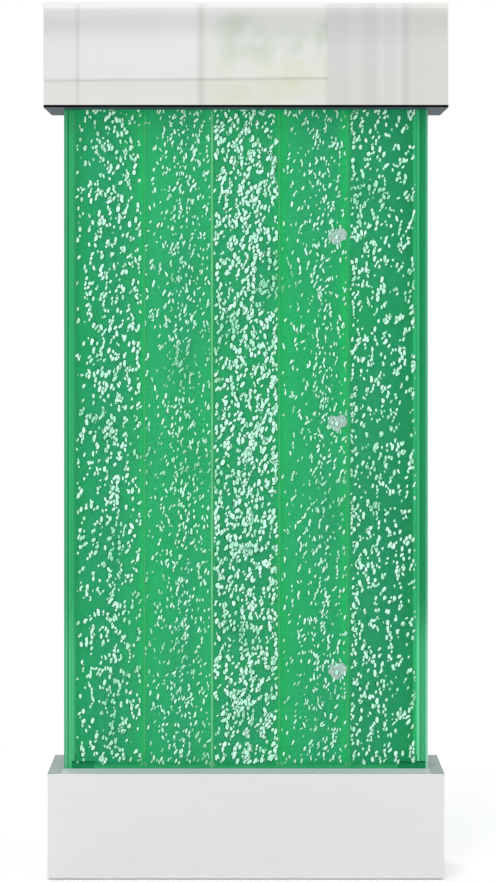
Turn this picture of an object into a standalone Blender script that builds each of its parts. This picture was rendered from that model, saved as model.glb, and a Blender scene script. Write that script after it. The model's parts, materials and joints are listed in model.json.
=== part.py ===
"""Bubble wall panel: a script that builds every piece of it.

A tall, thin tank of water stands in a metal base and wears a metal header. Dividers part
the water into five channels. An air box at the foot of each channel lets rows of bubbles
out, a strip of LEDs under the tank lights the water, and the base holds the air pump, the
valves, the mains inlet and the drain.

Metres, +Z up. The origin is on the floor, under the middle of the base, and the front
faces -Y.
"""

import math

import bmesh
import bpy
from mathutils import Matrix, Vector

# Whole object
TOTAL_HEIGHT = 1.830
SEAT_GAP = 0.0003  # between two pieces that touch
REVEAL = 0.001  # joint line round a panel, a door or the tank
OVERRUN = 0.002  # how far a cutter runs past what it cuts
MERGE = 0.00001
ROUND_SIDES = 24
PIPE_SIDES = 16
SMALL_SIDES = 12

# Base housing
BASE_WIDTH = 0.828
BASE_DEPTH = 0.250
BASE_HEIGHT = 0.221
FLOOR_GAP = 0.003  # daylight under the skirt
SHEET = 0.0015
BEND_RADIUS = 0.002
TOP_PLATE = 0.002
WRAP_FLANGE = 0.012  # turned in round the top, and down at the back
REAR_RETURN = 0.020  # turned in at the two back corners

# Floor tray and levelling feet
TRAY_SHEET = 0.002
TRAY_FLANGE = 0.020
FOOT_INSET_X = 0.039
FOOT_INSET_Y = 0.033
FOOT_PAD_DIAMETER = 0.040
FOOT_PAD_HEIGHT = 0.008
FOOT_CROWN_DIAMETER = 0.026  # flat top of the pad
FOOT_SOCKET_DEPTH = 0.004
FOOT_STUD_DIAMETER = 0.008
FOOT_STUD_LENGTH = 0.046
FOOT_HEX_DIAMETER = 0.013
FOOT_HEX_HEIGHT = 0.0034
HEX_SIDES = 6
FOOT_BOSS_DIAMETER = 0.014
FOOT_BOSS_HEIGHT = 0.012

# Tank
TANK_MARGIN = 0.030  # top of the base left bare beside each end of the tank
TANK_DEPTH = 0.108
TANK_WALL = 0.010
TANK_FLOOR = 0.010
TANK_SUNK = 0.061  # how far the tank's underside lies below the base's top
TANK_RISE = 0.149  # how far the tank's rim lies above the header's underside
CORNER_BAR = 0.012
CHANNELS = 5
DIVIDER = 0.003
CROSS_HOLE_DIAMETER = 0.008
CROSS_HOLE_RISE = 0.010  # its middle above the air boxes
BRACE = 0.008
BRACE_DROP = 0.004  # its top below the tank's rim
BRACE_BAR = 0.0148  # between two fill openings
BRACE_RIM = 0.012  # along the long walls

# Air boxes
AIR_BOX_RISE = 0.0507  # top of the box above the tank's floor
AIR_BOX_WALL = 0.003
AIR_BOX_TOP = 0.006
SUMP = 0.040  # left free beside each end box, for the drain
JET_DIAMETER = 0.0024
JETS_ALONG = 6
JET_PITCH = 0.020
JET_ROW = 0.016  # each row's distance from the box's middle
JET_SIDES = 6

# Cradle under the tank
ANGLE = 0.025  # leg of the angle iron
ANGLE_WALL = 0.003
CRADLE_PAD = 0.003
MID_LEG_X = 0.100

# Air manifold and its plug valves
MANIFOLD_Y = 0.014
MANIFOLD_DROP = 0.075  # its middle below the tank's underside
MANIFOLD_DIAMETER = 0.020
MANIFOLD_BORE = 0.014
MANIFOLD_CAP = 0.004
RISER_DIAMETER = 0.010
RISER_BORE = 0.005
RISER_RISE = 0.010  # above the tank's floor
VALVE_DROP = 0.045  # middle of a valve below the tank's underside
VALVE_DIAMETER = 0.018
VALVE_HEIGHT = 0.026
VALVE_BOSS_DIAMETER = 0.012
VALVE_BOSS_REACH = 0.013
PLUG_DIAMETER = 0.006
PLUG_REACH = 0.0042  # its end past the riser's axis
PLUG_BORE = 0.0035
KNOB_DIAMETER = 0.014
KNOB_DISC = 0.005
KNOB_WING_LENGTH = 0.022
KNOB_WING_WIDTH = 0.005
KNOB_WING_HEIGHT = 0.010
BARB_DIAMETER = 0.006
BARB_LENGTH = 0.014
BARB_BORE = 0.003

# Air pump, check valve and hose
PUMP_LENGTH = 0.150
PUMP_FRONT_ROOM = 0.004  # to the tray's front flange
PUMP_UNDER_TANK = 0.0168  # its back's reach past the cradle's front
PUMP_LEG_ROOM = 0.0225  # to the cradle's middle leg
PUMP_CASE_HEIGHT = 0.036
PUMP_COVER_HEIGHT = 0.030
PUMP_WALL = 0.0025
PUMP_CORNER = 0.010
PUMP_NOZZLE_RISE = 0.018
PUMP_NOZZLE_LENGTH = 0.014
CHECK_STANDOFF = 0.0015  # from the pump's case
CHECK_CUFF_DIAMETER = 0.012
CHECK_CUFF_LENGTH = 0.016
CHECK_BODY_DIAMETER = 0.018
CHECK_BODY_LENGTH = 0.010
HOSE_DIAMETER = 0.008
HOSE_BEND = 0.028
HOSE_STEP = 0.009

# Light under the tank
LAMP_END_ROOM = 0.059  # from its end to the cradle's ledge, for its lead
LAMP_Y = -0.013
LAMP_WIDTH = 0.024
LAMP_HEIGHT = 0.012
LAMP_WALL = 0.0015
BOARD_WIDTH = 0.010
BOARD_THICK = 0.0016
BOARD_END = 0.010  # channel left bare at each end
CHIP = 0.005
CHIP_HEIGHT = 0.0015
CHIP_PITCH = 0.033
DIFFUSER = 0.002
DIFFUSER_DROP = 0.0005
DRIVER_LENGTH = 0.120
DRIVER_HEIGHT = 0.030
DRIVER_X = 0.150
DRIVER_FRONT_ROOM = 0.011
DRIVER_BACK_ROOM = 0.0062  # to the cradle
DRIVER_CORNER = 0.003
DRIVER_EAR = 0.010
DRIVER_EAR_THICK = 0.003
LAMP_LEAD_DIAMETER = 0.004
LAMP_LEAD_BEND = 0.030
LAMP_LEAD_STEP = 0.009

# Back panel, service door and hinge
DOOR_FREE_MARGIN = 0.174  # from the opening to the base's left side
DOOR_HINGE_MARGIN = 0.054  # from the opening to the base's right side
DOOR_SILL = 0.040  # opening's lower edge above the panel's
DOOR_HEAD = 0.031  # opening's upper edge below the panel's
DOOR_RETURN = 0.010
HINGE_LEAF = 0.001
HINGE_LEAF_WIDTH = 0.020
HINGE_KNUCKLE = 0.006
HINGE_PIN = 0.003
HINGE_KNUCKLES = 5
HINGE_END = 0.005  # door left bare above and below the leaf
KNUCKLE_GAP = 0.0006
HINGE_PIN_STAND = 0.001  # pin's ends beyond the knuckles
VENTS = 14
VENT_PITCH = 0.010
VENT_WIDTH = 0.004
VENT_HEIGHT = 0.050
PULL_DIAMETER = 0.016
PULL_NECK_DIAMETER = 0.009
PULL_HEIGHT = 0.0065
PULL_RIM = 0.0025
PULL_INSET = 0.030
MAGNET_WIDTH = 0.020
MAGNET_HEIGHT = 0.030
MAGNET_DEPTH = 0.010
MAGNET_REACH = 0.012
MAGNET_EDGE = 0.0015  # from the door opening

# Mains inlet and rocker
INLET_INSET = 0.094  # its middle from the base's left side
INLET_Z = 0.120
INLET_WIDTH = 0.030
INLET_HEIGHT = 0.062
INLET_FLANGE = 0.002
INLET_BODY_WIDTH = 0.027
INLET_BODY_HEIGHT = 0.058
INLET_BODY_DEPTH = 0.030
SOCKET_WIDTH = 0.0245
SOCKET_HEIGHT = 0.0168
SOCKET_DEPTH = 0.017
SOCKET_DROP = 0.015
PIN_WIDTH = 0.002
PIN_HEIGHT = 0.004
PIN_LENGTH = 0.014
PIN_SPACING = 0.007
PIN_OFFSET = 0.0035
ROCKER_LENGTH = 0.020
ROCKER_WIDTH = 0.012
ROCKER_CREST = 0.0035  # ends of the face above the pivot
ROCKER_VALLEY = 0.0022
ROCKER_ROOT = 0.003  # underside below the pivot
ROCKER_RISE = 0.016
ROCKER_PIVOT_DEPTH = 0.0015
ROCKER_ROOM = 0.0008  # at each end of the rocker
ROCKER_WELL = 0.007
ROCKER_TILT_DEG = 8
MAINS_LEAD_DIAMETER = 0.007
MAINS_LEAD_BEND = 0.030
MAINS_LEAD_STEP = 0.015

# Drain
DRAIN_X_INSET = 0.042  # axis from the tank's end
DRAIN_NIPPLE_DIAMETER = 0.012
DRAIN_COLLAR_DIAMETER = 0.024
DRAIN_COLLAR = 0.006
DRAIN_NECK_DIAMETER = 0.014
DRAIN_BODY_DIAMETER = 0.024
DRAIN_BODY_HEIGHT = 0.028
DRAIN_BORE = 0.007
DRAIN_BARB_DIAMETER = 0.012
DRAIN_BARB_ROOT = 0.009
DRAIN_BARB_LENGTH = 0.040
DRAIN_BARBS = 3
DRAIN_BOSS_DIAMETER = 0.019
DRAIN_BOSS_REACH = 0.018
DRAIN_PLUG_DIAMETER = 0.014
DRAIN_PLUG_REACH = 0.008  # its end past the pipe's axis
LEVER_ROOM = 0.0135  # from its end to the nearest air valve
LEVER_TAIL = 0.008
LEVER_WIDTH = 0.012
LEVER_THICK = 0.004

# Header
HEADER_HEIGHT = 0.219
HEADER_OVERHANG = 0.008  # past the base, on every side
SOFFIT = 0.005
HEADER_FLANGE = 0.012
LID_HEIGHT = 0.012
LID_LIP = 0.018  # locating lip below the lid's skirt
CROSSBAR = 0.020
CROSSBAR_WALL = 0.0015
CROSSBAR_INSET = 0.122  # its middle from the header's end

# Half sizes and heights that follow
BASE_X = BASE_WIDTH / 2
BASE_Y = BASE_DEPTH / 2
INNER_X = BASE_X - SHEET
INNER_Y = BASE_Y - SHEET
TRAY_LOW = FOOT_PAD_HEIGHT + FOOT_HEX_HEIGHT + 2 * SEAT_GAP
TRAY_TOP = TRAY_LOW + TRAY_SHEET
TRAY_INNER_Y = INNER_Y - SEAT_GAP - TRAY_SHEET
WRAP_TOP = BASE_HEIGHT - TOP_PLATE - SEAT_GAP
PANEL_X = INNER_X - SEAT_GAP
PANEL_Y = INNER_Y - SEAT_GAP
PANEL_TOP = WRAP_TOP - SHEET - SEAT_GAP
FOOT_X = BASE_X - FOOT_INSET_X
FOOT_Y = BASE_Y - FOOT_INSET_Y
FEET = {
    "front_left": (-FOOT_X, -FOOT_Y),
    "front_right": (FOOT_X, -FOOT_Y),
    "back_left": (-FOOT_X, FOOT_Y),
    "back_right": (FOOT_X, FOOT_Y),
}

TANK_X = BASE_X - TANK_MARGIN
TANK_Y = TANK_DEPTH / 2
WATER_X = TANK_X - TANK_WALL
WATER_Y = TANK_Y - TANK_WALL
TANK_LOW = BASE_HEIGHT - TANK_SUNK
TANK_FLOOR_TOP = TANK_LOW + TANK_FLOOR
WALL_LOW = TANK_FLOOR_TOP + SEAT_GAP
HEADER_LOW = TOTAL_HEIGHT - HEADER_HEIGHT
TANK_TOP = HEADER_LOW + TANK_RISE
BRACE_HIGH = TANK_TOP - BRACE_DROP
BRACE_LOW = BRACE_HIGH - BRACE
BRACE_X = WATER_X - CORNER_BAR - SEAT_GAP
CHANNEL_PITCH = 2 * (WATER_X - CORNER_BAR) / CHANNELS
CHANNEL_MIDDLES = [(k - (CHANNELS - 1) / 2) * CHANNEL_PITCH for k in range(CHANNELS)]
AIR_BOX_HIGH = WALL_LOW + AIR_BOX_RISE
AIR_BOX_END_X = WATER_X - CORNER_BAR - SUMP
AIR_BOX_HALF = (CHANNEL_PITCH - DIVIDER) / 2 - SEAT_GAP
AIR_BOX_SPANS = [
    (max(x - AIR_BOX_HALF, -AIR_BOX_END_X), min(x + AIR_BOX_HALF, AIR_BOX_END_X))
    for x in CHANNEL_MIDDLES
]
RISER_XS = [(left + right) / 2 for left, right in AIR_BOX_SPANS]

CRADLE_LOW = TRAY_TOP + SEAT_GAP
PAD_HIGH = TANK_LOW - SEAT_GAP
PAD_LOW = PAD_HIGH - CRADLE_PAD
CRADLE_HIGH = PAD_LOW - SEAT_GAP
LEDGE_X = TANK_X - ANGLE
LEDGE_Y = TANK_Y - ANGLE
LAMP_X = LEDGE_X - LAMP_END_ROOM

MANIFOLD_Z = TANK_LOW - MANIFOLD_DROP
VALVE_Z = TANK_LOW - VALVE_DROP
PLUG_END_Y = MANIFOLD_Y - PLUG_REACH
KNOB_Y = MANIFOLD_Y + VALVE_BOSS_REACH + SEAT_GAP

DOOR_LOW_X = -(BASE_X - DOOR_FREE_MARGIN)
DOOR_HIGH_X = BASE_X - DOOR_HINGE_MARGIN
DOOR_LOW_Z = FLOOR_GAP + DOOR_SILL
DOOR_HIGH_Z = PANEL_TOP - DOOR_HEAD
DOOR_MIDDLE_Z = (DOOR_LOW_Z + DOOR_HIGH_Z) / 2
HINGE_X = DOOR_HIGH_X - REVEAL / 2
HINGE_Y = PANEL_Y + 2 * SEAT_GAP + HINGE_KNUCKLE / 2
HINGE_LOW = DOOR_LOW_Z + REVEAL + HINGE_END
HINGE_HIGH = DOOR_HIGH_Z - REVEAL - HINGE_END
KNUCKLE_LENGTH = (HINGE_HIGH - HINGE_LOW) / HINGE_KNUCKLES

INLET_X = -(BASE_X - INLET_INSET)
INLET_FACE_Y = PANEL_Y + SEAT_GAP + INLET_FLANGE
INLET_BACK_Y = PANEL_Y - INLET_BODY_DEPTH
ROCKER_PIVOT_Y = INLET_FACE_Y - ROCKER_PIVOT_DEPTH

PUMP_FRONT_Y = -(TRAY_INNER_Y - PUMP_FRONT_ROOM)
PUMP_BACK_Y = -(TANK_Y - PUMP_UNDER_TANK)
PUMP_Y = (PUMP_FRONT_Y + PUMP_BACK_Y) / 2
PUMP_RIGHT_X = -(MID_LEG_X + ANGLE / 2 + PUMP_LEG_ROOM)
PUMP_LOW = TRAY_TOP + SEAT_GAP
PUMP_SEAM = PUMP_LOW + PUMP_CASE_HEIGHT
NOZZLE_Z = PUMP_LOW + PUMP_NOZZLE_RISE
DRIVER_LOW = TRAY_TOP + SEAT_GAP
DRIVER_FRONT_Y = -(TRAY_INNER_Y - DRIVER_FRONT_ROOM)
DRIVER_BACK_Y = -(TANK_Y + DRIVER_BACK_ROOM)
DRIVER_Y = (DRIVER_FRONT_Y + DRIVER_BACK_Y) / 2

DRAIN_X = TANK_X - DRAIN_X_INSET
DRAIN_Z = VALVE_Z
LEVER_END_X = max(RISER_XS) + VALVE_BOSS_DIAMETER / 2 + LEVER_ROOM

HEADER_X = BASE_X + HEADER_OVERHANG
HEADER_Y = BASE_Y + HEADER_OVERHANG
CROSSBAR_X = HEADER_X - CROSSBAR_INSET
SHELL_LOW = HEADER_LOW + SOFFIT + SEAT_GAP
LID_LOW = TOTAL_HEIGHT - LID_HEIGHT
SHELL_HIGH = LID_LOW - SEAT_GAP


def clear_file():
    """Start from an empty file."""
    for old in list(bpy.data.objects):
        bpy.data.objects.remove(old, do_unlink=True)


def new_collection(name):
    collection = bpy.data.collections.new(name)
    bpy.context.scene.collection.children.link(collection)
    return collection


clear_file()
PARTS = new_collection("bubble_wall_panel")
CUTTERS = new_collection("cutters")


def finish(name, colour, roughness, metallic=0.0, alpha=1.0, glow=0.0):
    """A Principled material. Colours are linear."""
    material = bpy.data.materials.new(name)
    material.use_nodes = True
    shader = material.node_tree.nodes["Principled BSDF"]
    shader.inputs["Base Color"].default_value = (*colour, 1)
    shader.inputs["Roughness"].default_value = roughness
    shader.inputs["Metallic"].default_value = metallic
    shader.inputs["Alpha"].default_value = alpha
    shader.inputs["Emission Color"].default_value = (*colour, 1)
    shader.inputs["Emission Strength"].default_value = glow
    return material


POLISHED_STEEL = finish("polished_steel", (0.72, 0.74, 0.72), 0.08, metallic=1)
SATIN_STEEL = finish("satin_steel", (0.66, 0.68, 0.66), 0.25, metallic=1)
BRUSHED_STEEL = finish("brushed_steel", (0.42, 0.45, 0.44), 0.35, metallic=1)
ZINC_STEEL = finish("zinc_steel", (0.48, 0.49, 0.50), 0.45, metallic=1)
PAINTED_FRAME = finish("painted_frame", (0.03, 0.03, 0.032), 0.5)
BLACK_BOARD = finish("black_board", (0.02, 0.024, 0.022), 0.4)
CLEAR_ACRYLIC = finish("clear_acrylic", (0.30, 0.85, 0.55), 0.05, alpha=0.35)
FROSTED_ACRYLIC = finish("frosted_acrylic", (0.55, 0.85, 0.70), 0.4, alpha=0.6)
RUBBER = finish("rubber", (0.02, 0.02, 0.02), 0.8)
BLACK_PLASTIC = finish("black_plastic", (0.03, 0.03, 0.03), 0.45)
GREY_PLASTIC = finish("grey_plastic", (0.30, 0.31, 0.32), 0.5)
BLUE_PLASTIC = finish("blue_plastic", (0.03, 0.12, 0.40), 0.4)
WHITE_PLASTIC = finish("white_plastic", (0.75, 0.76, 0.76), 0.45)
HOSE_PLASTIC = finish("hose_plastic", (0.60, 0.66, 0.64), 0.3)
BRASS = finish("brass", (0.60, 0.42, 0.16), 0.3, metallic=1)
ALUMINIUM = finish("aluminium", (0.60, 0.61, 0.62), 0.4, metallic=1)
LED_BOARD = finish("led_board", (0.10, 0.85, 0.45), 0.5, glow=1)


def box(low, high):
    """A closed box between two corners, as a step that adds it to a bmesh."""
    low = Vector(low)
    high = Vector(high)
    place = Matrix.Translation((low + high) / 2) @ Matrix.Diagonal((*(high - low), 1))
    return lambda work: bmesh.ops.create_cube(work, size=1, matrix=place)


def slab(half_x, half_y, low, high):
    """A closed box about the Z axis, between two heights."""
    return box((-half_x, -half_y, low), (half_x, half_y, high))


def rod(start, end, radius, sides=ROUND_SIDES):
    """A closed cylinder from one point to another.

    It is turned half a side about its own axis, so that crossing rods share no corner.
    The side of a round one is shaded smooth.
    """
    start = Vector(start)
    end = Vector(end)
    turn = (end - start).to_track_quat("Z", "Y").to_matrix().to_4x4()
    half_side = Matrix.Rotation(math.pi / sides, 4, "Z")
    place = Matrix.Translation((start + end) / 2) @ turn @ half_side

    def add(work):
        made = bmesh.ops.create_cone(
            work, cap_ends=True, segments=sides, radius1=radius, radius2=radius,
            depth=(end - start).length, matrix=place)
        for vert in made["verts"]:
            for face in vert.link_faces:
                face.smooth = sides > HEX_SIDES and len(face.verts) == 4

    return add


def mesh_of(name, shapes, origin):
    """One mesh that holds the shapes, each a closed body, moved so that origin is at zero."""
    work = bmesh.new()
    for add in shapes:
        add(work)
    bmesh.ops.translate(work, verts=work.verts, vec=-Vector(origin))
    mesh = bpy.data.meshes.new(name)
    work.to_mesh(mesh)
    work.free()
    return mesh


def put(name, data, material, origin):
    """Link an object to the parts, with its origin in place."""
    part = bpy.data.objects.new(name, data)
    part.location = origin
    data.materials.append(material)
    PARTS.objects.link(part)
    return part


def solid(name, material, shapes, origin=(0, 0, 0)):
    """A part that starts as one or more closed shapes in world places."""
    return put(name, mesh_of(name, shapes, origin), material, origin)


def combine(part, what, shapes, operation):
    """A Boolean with a guide object that holds the shapes."""
    label = f"{part.name}_{what}"
    guide = bpy.data.objects.new(label, mesh_of(label, shapes, (0, 0, 0)))
    guide.hide_render = True
    guide.display_type = "WIRE"
    CUTTERS.objects.link(guide)
    step = part.modifiers.new(what, "BOOLEAN")
    step.operation = operation
    step.solver = "EXACT"
    step.object = guide


def cut(part, what, shapes):
    combine(part, what, shapes, "DIFFERENCE")


def join(part, what, shapes):
    combine(part, what, shapes, "UNION")


def is_upright(start, end):
    """An edge that runs along Z."""
    return abs(start.z - end.z) > abs(start.x - end.x) + abs(start.y - end.y)


def is_upright_or_top(start, end):
    """An edge that runs along Z, or lies in the top."""
    return is_upright(start, end) or min(start.z, end.z) > 0


def round_edges(part, radius, segments, picks):
    """Bevel the edges of a part's first shape that picks(start, end) chooses.

    The ends are given about the middle of the shape.
    """
    mesh = part.data
    middle = sum((v.co for v in mesh.vertices), Vector()) / len(mesh.vertices)
    weights = mesh.attributes.new("bevel_weight_edge", "FLOAT", "EDGE")
    for edge in mesh.edges:
        start, end = (mesh.vertices[i].co - middle for i in edge.vertices)
        weights.data[edge.index].value = 1.0 if picks(start, end) else 0.0
    bevel = part.modifiers.new("rounded", "BEVEL")
    bevel.limit_method = "WEIGHT"
    bevel.width = radius
    bevel.segments = segments
    bevel.use_clamp_overlap = True


def turned(name, material, profile, centre, bored=False, tilt=(0, 0, 0)):
    """A turned part. Its profile of (radius, height) runs down the outer side from the top.

    A bored profile is a closed loop. Any other starts and ends on the axis.
    """
    mesh = bpy.data.meshes.new(name)
    edges = [(i, i + 1) for i in range(len(profile) - 1)]
    if bored:
        edges.append((len(profile) - 1, 0))
    mesh.from_pydata([(radius, 0, height) for radius, height in profile], edges, [])
    part = put(name, mesh, material, centre)
    part.rotation_euler = tilt
    screw = part.modifiers.new("turned", "SCREW")
    screw.steps = ROUND_SIDES
    screw.render_steps = ROUND_SIDES
    screw.use_merge_vertices = True
    screw.merge_threshold = MERGE
    return part


def smooth_route(knots, step):
    """Points about one step apart on a smooth curve through the knots.

    Each span is a cubic whose end slopes come from the neighbouring knots.
    """
    knots = [Vector(k) for k in knots]
    ends = [2 * knots[0] - knots[1], *knots, 2 * knots[-1] - knots[-2]]
    route = [knots[0]]
    for before, start, end, after in zip(ends, ends[1:], ends[2:], ends[3:]):
        count = max(1, round((end - start).length / step))
        for i in range(1, count + 1):
            t = i / count
            route.append(0.5 * (2 * start + (end - before) * t
                                + (2 * before - 5 * start + 4 * end - after) * t ** 2
                                + (3 * start - before - 3 * end + after) * t ** 3))
    return route


def tube(name, material, points, diameter):
    """A round tube along a line of points, with filled ends."""
    curve = bpy.data.curves.new(name, "CURVE")
    curve.dimensions = "3D"
    curve.bevel_depth = diameter / 2
    curve.bevel_resolution = 2
    curve.use_fill_caps = True
    spline = curve.splines.new("POLY")
    spline.points.add(len(points) - 1)
    for point, place in zip(spline.points, points):
        point.co = (*place, 1)
    return put(name, curve, material, (0, 0, 0))


# Base housing


def base_wrap():
    """Front and sides in one bent sheet, with a flange all round the top."""
    part = solid("base_wrap", SATIN_STEEL, [slab(BASE_X, BASE_Y, FLOOR_GAP, WRAP_TOP)])
    round_edges(part, BEND_RADIUS, 3, is_upright)
    cut(part, "inside", [slab(INNER_X, INNER_Y, FLOOR_GAP - OVERRUN, WRAP_TOP - SHEET)])
    cut(part, "top_opening", [slab(BASE_X - WRAP_FLANGE, BASE_Y - WRAP_FLANGE,
                                   WRAP_TOP - SHEET - OVERRUN, WRAP_TOP + OVERRUN)])
    opening_x = BASE_X - REAR_RETURN
    cut(part, "rear_opening", [box((-opening_x, INNER_Y - OVERRUN, FLOOR_GAP - OVERRUN),
                                   (opening_x, BASE_Y + OVERRUN, WRAP_TOP - WRAP_FLANGE))])


def base_top_plate():
    """Top of the base, with the slot that the tank stands in."""
    low = BASE_HEIGHT - TOP_PLATE
    part = solid("base_top_plate", BRUSHED_STEEL, [slab(BASE_X, BASE_Y, low, BASE_HEIGHT)])
    round_edges(part, BEND_RADIUS, 3, is_upright)
    cut(part, "slot", [slab(TANK_X + REVEAL, TANK_Y + REVEAL, low - OVERRUN, BASE_HEIGHT + OVERRUN)])


def base_back_panel():
    """Back of the base, behind the wrap's returns, with holes for the door and the inlet."""
    part = solid("base_back_panel", BRUSHED_STEEL,
                 [box((-PANEL_X, PANEL_Y - SHEET, FLOOR_GAP), (PANEL_X, PANEL_Y, PANEL_TOP))])
    inlet_x = INLET_BODY_WIDTH / 2 + SEAT_GAP
    inlet_z = INLET_BODY_HEIGHT / 2 + SEAT_GAP
    cut(part, "openings", [
        box((DOOR_LOW_X, PANEL_Y - SHEET - OVERRUN, DOOR_LOW_Z),
            (DOOR_HIGH_X, PANEL_Y + OVERRUN, DOOR_HIGH_Z)),
        box((INLET_X - inlet_x, PANEL_Y - SHEET - OVERRUN, INLET_Z - inlet_z),
            (INLET_X + inlet_x, PANEL_Y + OVERRUN, INLET_Z + inlet_z)),
    ])


def floor_tray():
    """Tray that carries the tank's cradle, with a threaded boss over each foot."""
    half_x = INNER_X - SEAT_GAP
    front_y = -(INNER_Y - SEAT_GAP)
    back_y = PANEL_Y - SHEET - SEAT_GAP
    rim = TRAY_TOP + TRAY_FLANGE
    part = solid("floor_tray", ZINC_STEEL, [box((-half_x, front_y, TRAY_LOW), (half_x, back_y, rim))])
    cut(part, "inside", [box((-half_x + TRAY_SHEET, front_y + TRAY_SHEET, TRAY_TOP),
                             (half_x - TRAY_SHEET, back_y - TRAY_SHEET, rim + OVERRUN))])
    boss_low = (TRAY_LOW + TRAY_TOP) / 2
    boss_high = TRAY_TOP + FOOT_BOSS_HEIGHT
    join(part, "bosses", [
        rod((x, y, boss_low), (x, y, boss_high), FOOT_BOSS_DIAMETER / 2, PIPE_SIDES)
        for x, y in FEET.values()])
    bore = FOOT_STUD_DIAMETER / 2 + SEAT_GAP
    cut(part, "bores", [
        rod((x, y, TRAY_LOW - OVERRUN), (x, y, boss_high + OVERRUN), bore, PIPE_SIDES)
        for x, y in FEET.values()])


def foot(place, x, y):
    """A levelling foot: a pad, and the threaded stud that turns in it."""
    radius = FOOT_PAD_DIAMETER / 2
    socket = FOOT_STUD_DIAMETER / 2 + SEAT_GAP
    floor = FOOT_PAD_HEIGHT - FOOT_SOCKET_DEPTH
    turned(f"foot_pad_{place}", RUBBER, [
        (0, floor), (socket, floor), (socket, FOOT_PAD_HEIGHT), (FOOT_CROWN_DIAMETER / 2, FOOT_PAD_HEIGHT),
        (radius, FOOT_PAD_HEIGHT / 2), (radius, 0), (0, 0),
    ], (x, y, 0))
    stud = solid(f"foot_stud_{place}", ZINC_STEEL, [
        rod((x, y, floor + SEAT_GAP), (x, y, floor + SEAT_GAP + FOOT_STUD_LENGTH),
            FOOT_STUD_DIAMETER / 2, PIPE_SIDES)], origin=(x, y, 0))
    hex_low = FOOT_PAD_HEIGHT + SEAT_GAP
    join(stud, "hex", [rod((x, y, hex_low), (x, y, hex_low + FOOT_HEX_HEIGHT),
                           FOOT_HEX_DIAMETER / 2, HEX_SIDES)])


# Service door


def service_door():
    """Door of the base: a shallow pan with vents, flush with the back panel."""
    low = Vector((DOOR_LOW_X + REVEAL, PANEL_Y - DOOR_RETURN, DOOR_LOW_Z + REVEAL))
    high = Vector((DOOR_HIGH_X - REVEAL, PANEL_Y, DOOR_HIGH_Z - REVEAL))
    part = solid("service_door", BRUSHED_STEEL, [box(low, high)], origin=(HINGE_X, HINGE_Y, 0))
    cut(part, "inside", [box((low.x + SHEET, low.y - OVERRUN, low.z + SHEET),
                             (high.x - SHEET, high.y - SHEET, high.z - SHEET))])
    middle = (low.x + high.x) / 2
    centres = [middle + (k - (VENTS - 1) / 2) * VENT_PITCH for k in range(VENTS)]
    cut(part, "vents", [
        box((x - VENT_WIDTH / 2, high.y - SHEET - OVERRUN, DOOR_MIDDLE_Z - VENT_HEIGHT / 2),
            (x + VENT_WIDTH / 2, high.y + OVERRUN, DOOR_MIDDLE_Z + VENT_HEIGHT / 2))
        for x in centres])


def hinge_leaf(name, side, own):
    """A leaf of the pin hinge: a strip on the sheet, and every second knuckle.

    side is 1 for the leaf on the panel and -1 for the leaf on the door.
    """
    radius = HINGE_KNUCKLE / 2
    face = PANEL_Y + SEAT_GAP
    edge = HINGE_X + side * HINGE_LEAF_WIDTH
    part = solid(name, ZINC_STEEL, [box((min(HINGE_X, edge), face, HINGE_LOW),
                                        (max(HINGE_X, edge), face + HINGE_LEAF, HINGE_HIGH))],
                 origin=(HINGE_X, HINGE_Y, 0))
    notch = HINGE_X + side * (radius + KNUCKLE_GAP)
    behind = HINGE_X - side * OVERRUN
    half_gap = KNUCKLE_GAP / 2
    starts = [HINGE_LOW + k * KNUCKLE_LENGTH for k in range(HINGE_KNUCKLES)]
    cut(part, "notches", [
        box((min(behind, notch), face - OVERRUN, z - half_gap),
            (max(behind, notch), face + HINGE_LEAF + OVERRUN, z + KNUCKLE_LENGTH + half_gap))
        for k, z in enumerate(starts) if k % 2 != own])
    join(part, "knuckles", [
        rod((HINGE_X, HINGE_Y, z + half_gap), (HINGE_X, HINGE_Y, z + KNUCKLE_LENGTH - half_gap),
            radius, SMALL_SIDES)
        for k, z in enumerate(starts) if k % 2 == own])
    cut(part, "bore", [rod((HINGE_X, HINGE_Y, HINGE_LOW - OVERRUN),
                           (HINGE_X, HINGE_Y, HINGE_HIGH + OVERRUN),
                           HINGE_PIN / 2 + SEAT_GAP, SMALL_SIDES)])


def hinge_pin():
    solid("hinge_pin", ZINC_STEEL, [
        rod((HINGE_X, HINGE_Y, HINGE_LOW - HINGE_PIN_STAND),
            (HINGE_X, HINGE_Y, HINGE_HIGH + HINGE_PIN_STAND), HINGE_PIN / 2, SMALL_SIDES)],
        origin=(HINGE_X, HINGE_Y, 0))


def door_pull():
    """A small turned knob near the door's free edge."""
    height = PULL_HEIGHT
    turned("door_pull", POLISHED_STEEL, [
        (0, height), (PULL_DIAMETER / 2, height), (PULL_DIAMETER / 2, height - PULL_RIM),
        (PULL_NECK_DIAMETER / 2, height / 3), (PULL_NECK_DIAMETER / 2, 0), (0, 0),
    ], (DOOR_LOW_X + PULL_INSET, PANEL_Y + SEAT_GAP, DOOR_MIDDLE_Z), tilt=(-math.pi / 2, 0, 0))


def door_magnet():
    """A catch on the panel's inner face, whose nose stops the door's free edge."""
    face = PANEL_Y - SHEET - SEAT_GAP
    nose = PANEL_Y - DOOR_RETURN - SEAT_GAP
    high_x = DOOR_LOW_X - MAGNET_EDGE
    low_z = DOOR_MIDDLE_Z - MAGNET_HEIGHT / 2
    high_z = DOOR_MIDDLE_Z + MAGNET_HEIGHT / 2
    part = solid("door_magnet", WHITE_PLASTIC,
                 [box((high_x - MAGNET_WIDTH, nose - MAGNET_DEPTH, low_z), (high_x, face, high_z))])
    inset = MAGNET_WIDTH / 10
    join(part, "nose", [box((high_x - inset, nose - MAGNET_DEPTH + inset, low_z + inset),
                            (DOOR_LOW_X + MAGNET_REACH, nose, high_z - inset))])


# Tank and its support


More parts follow.
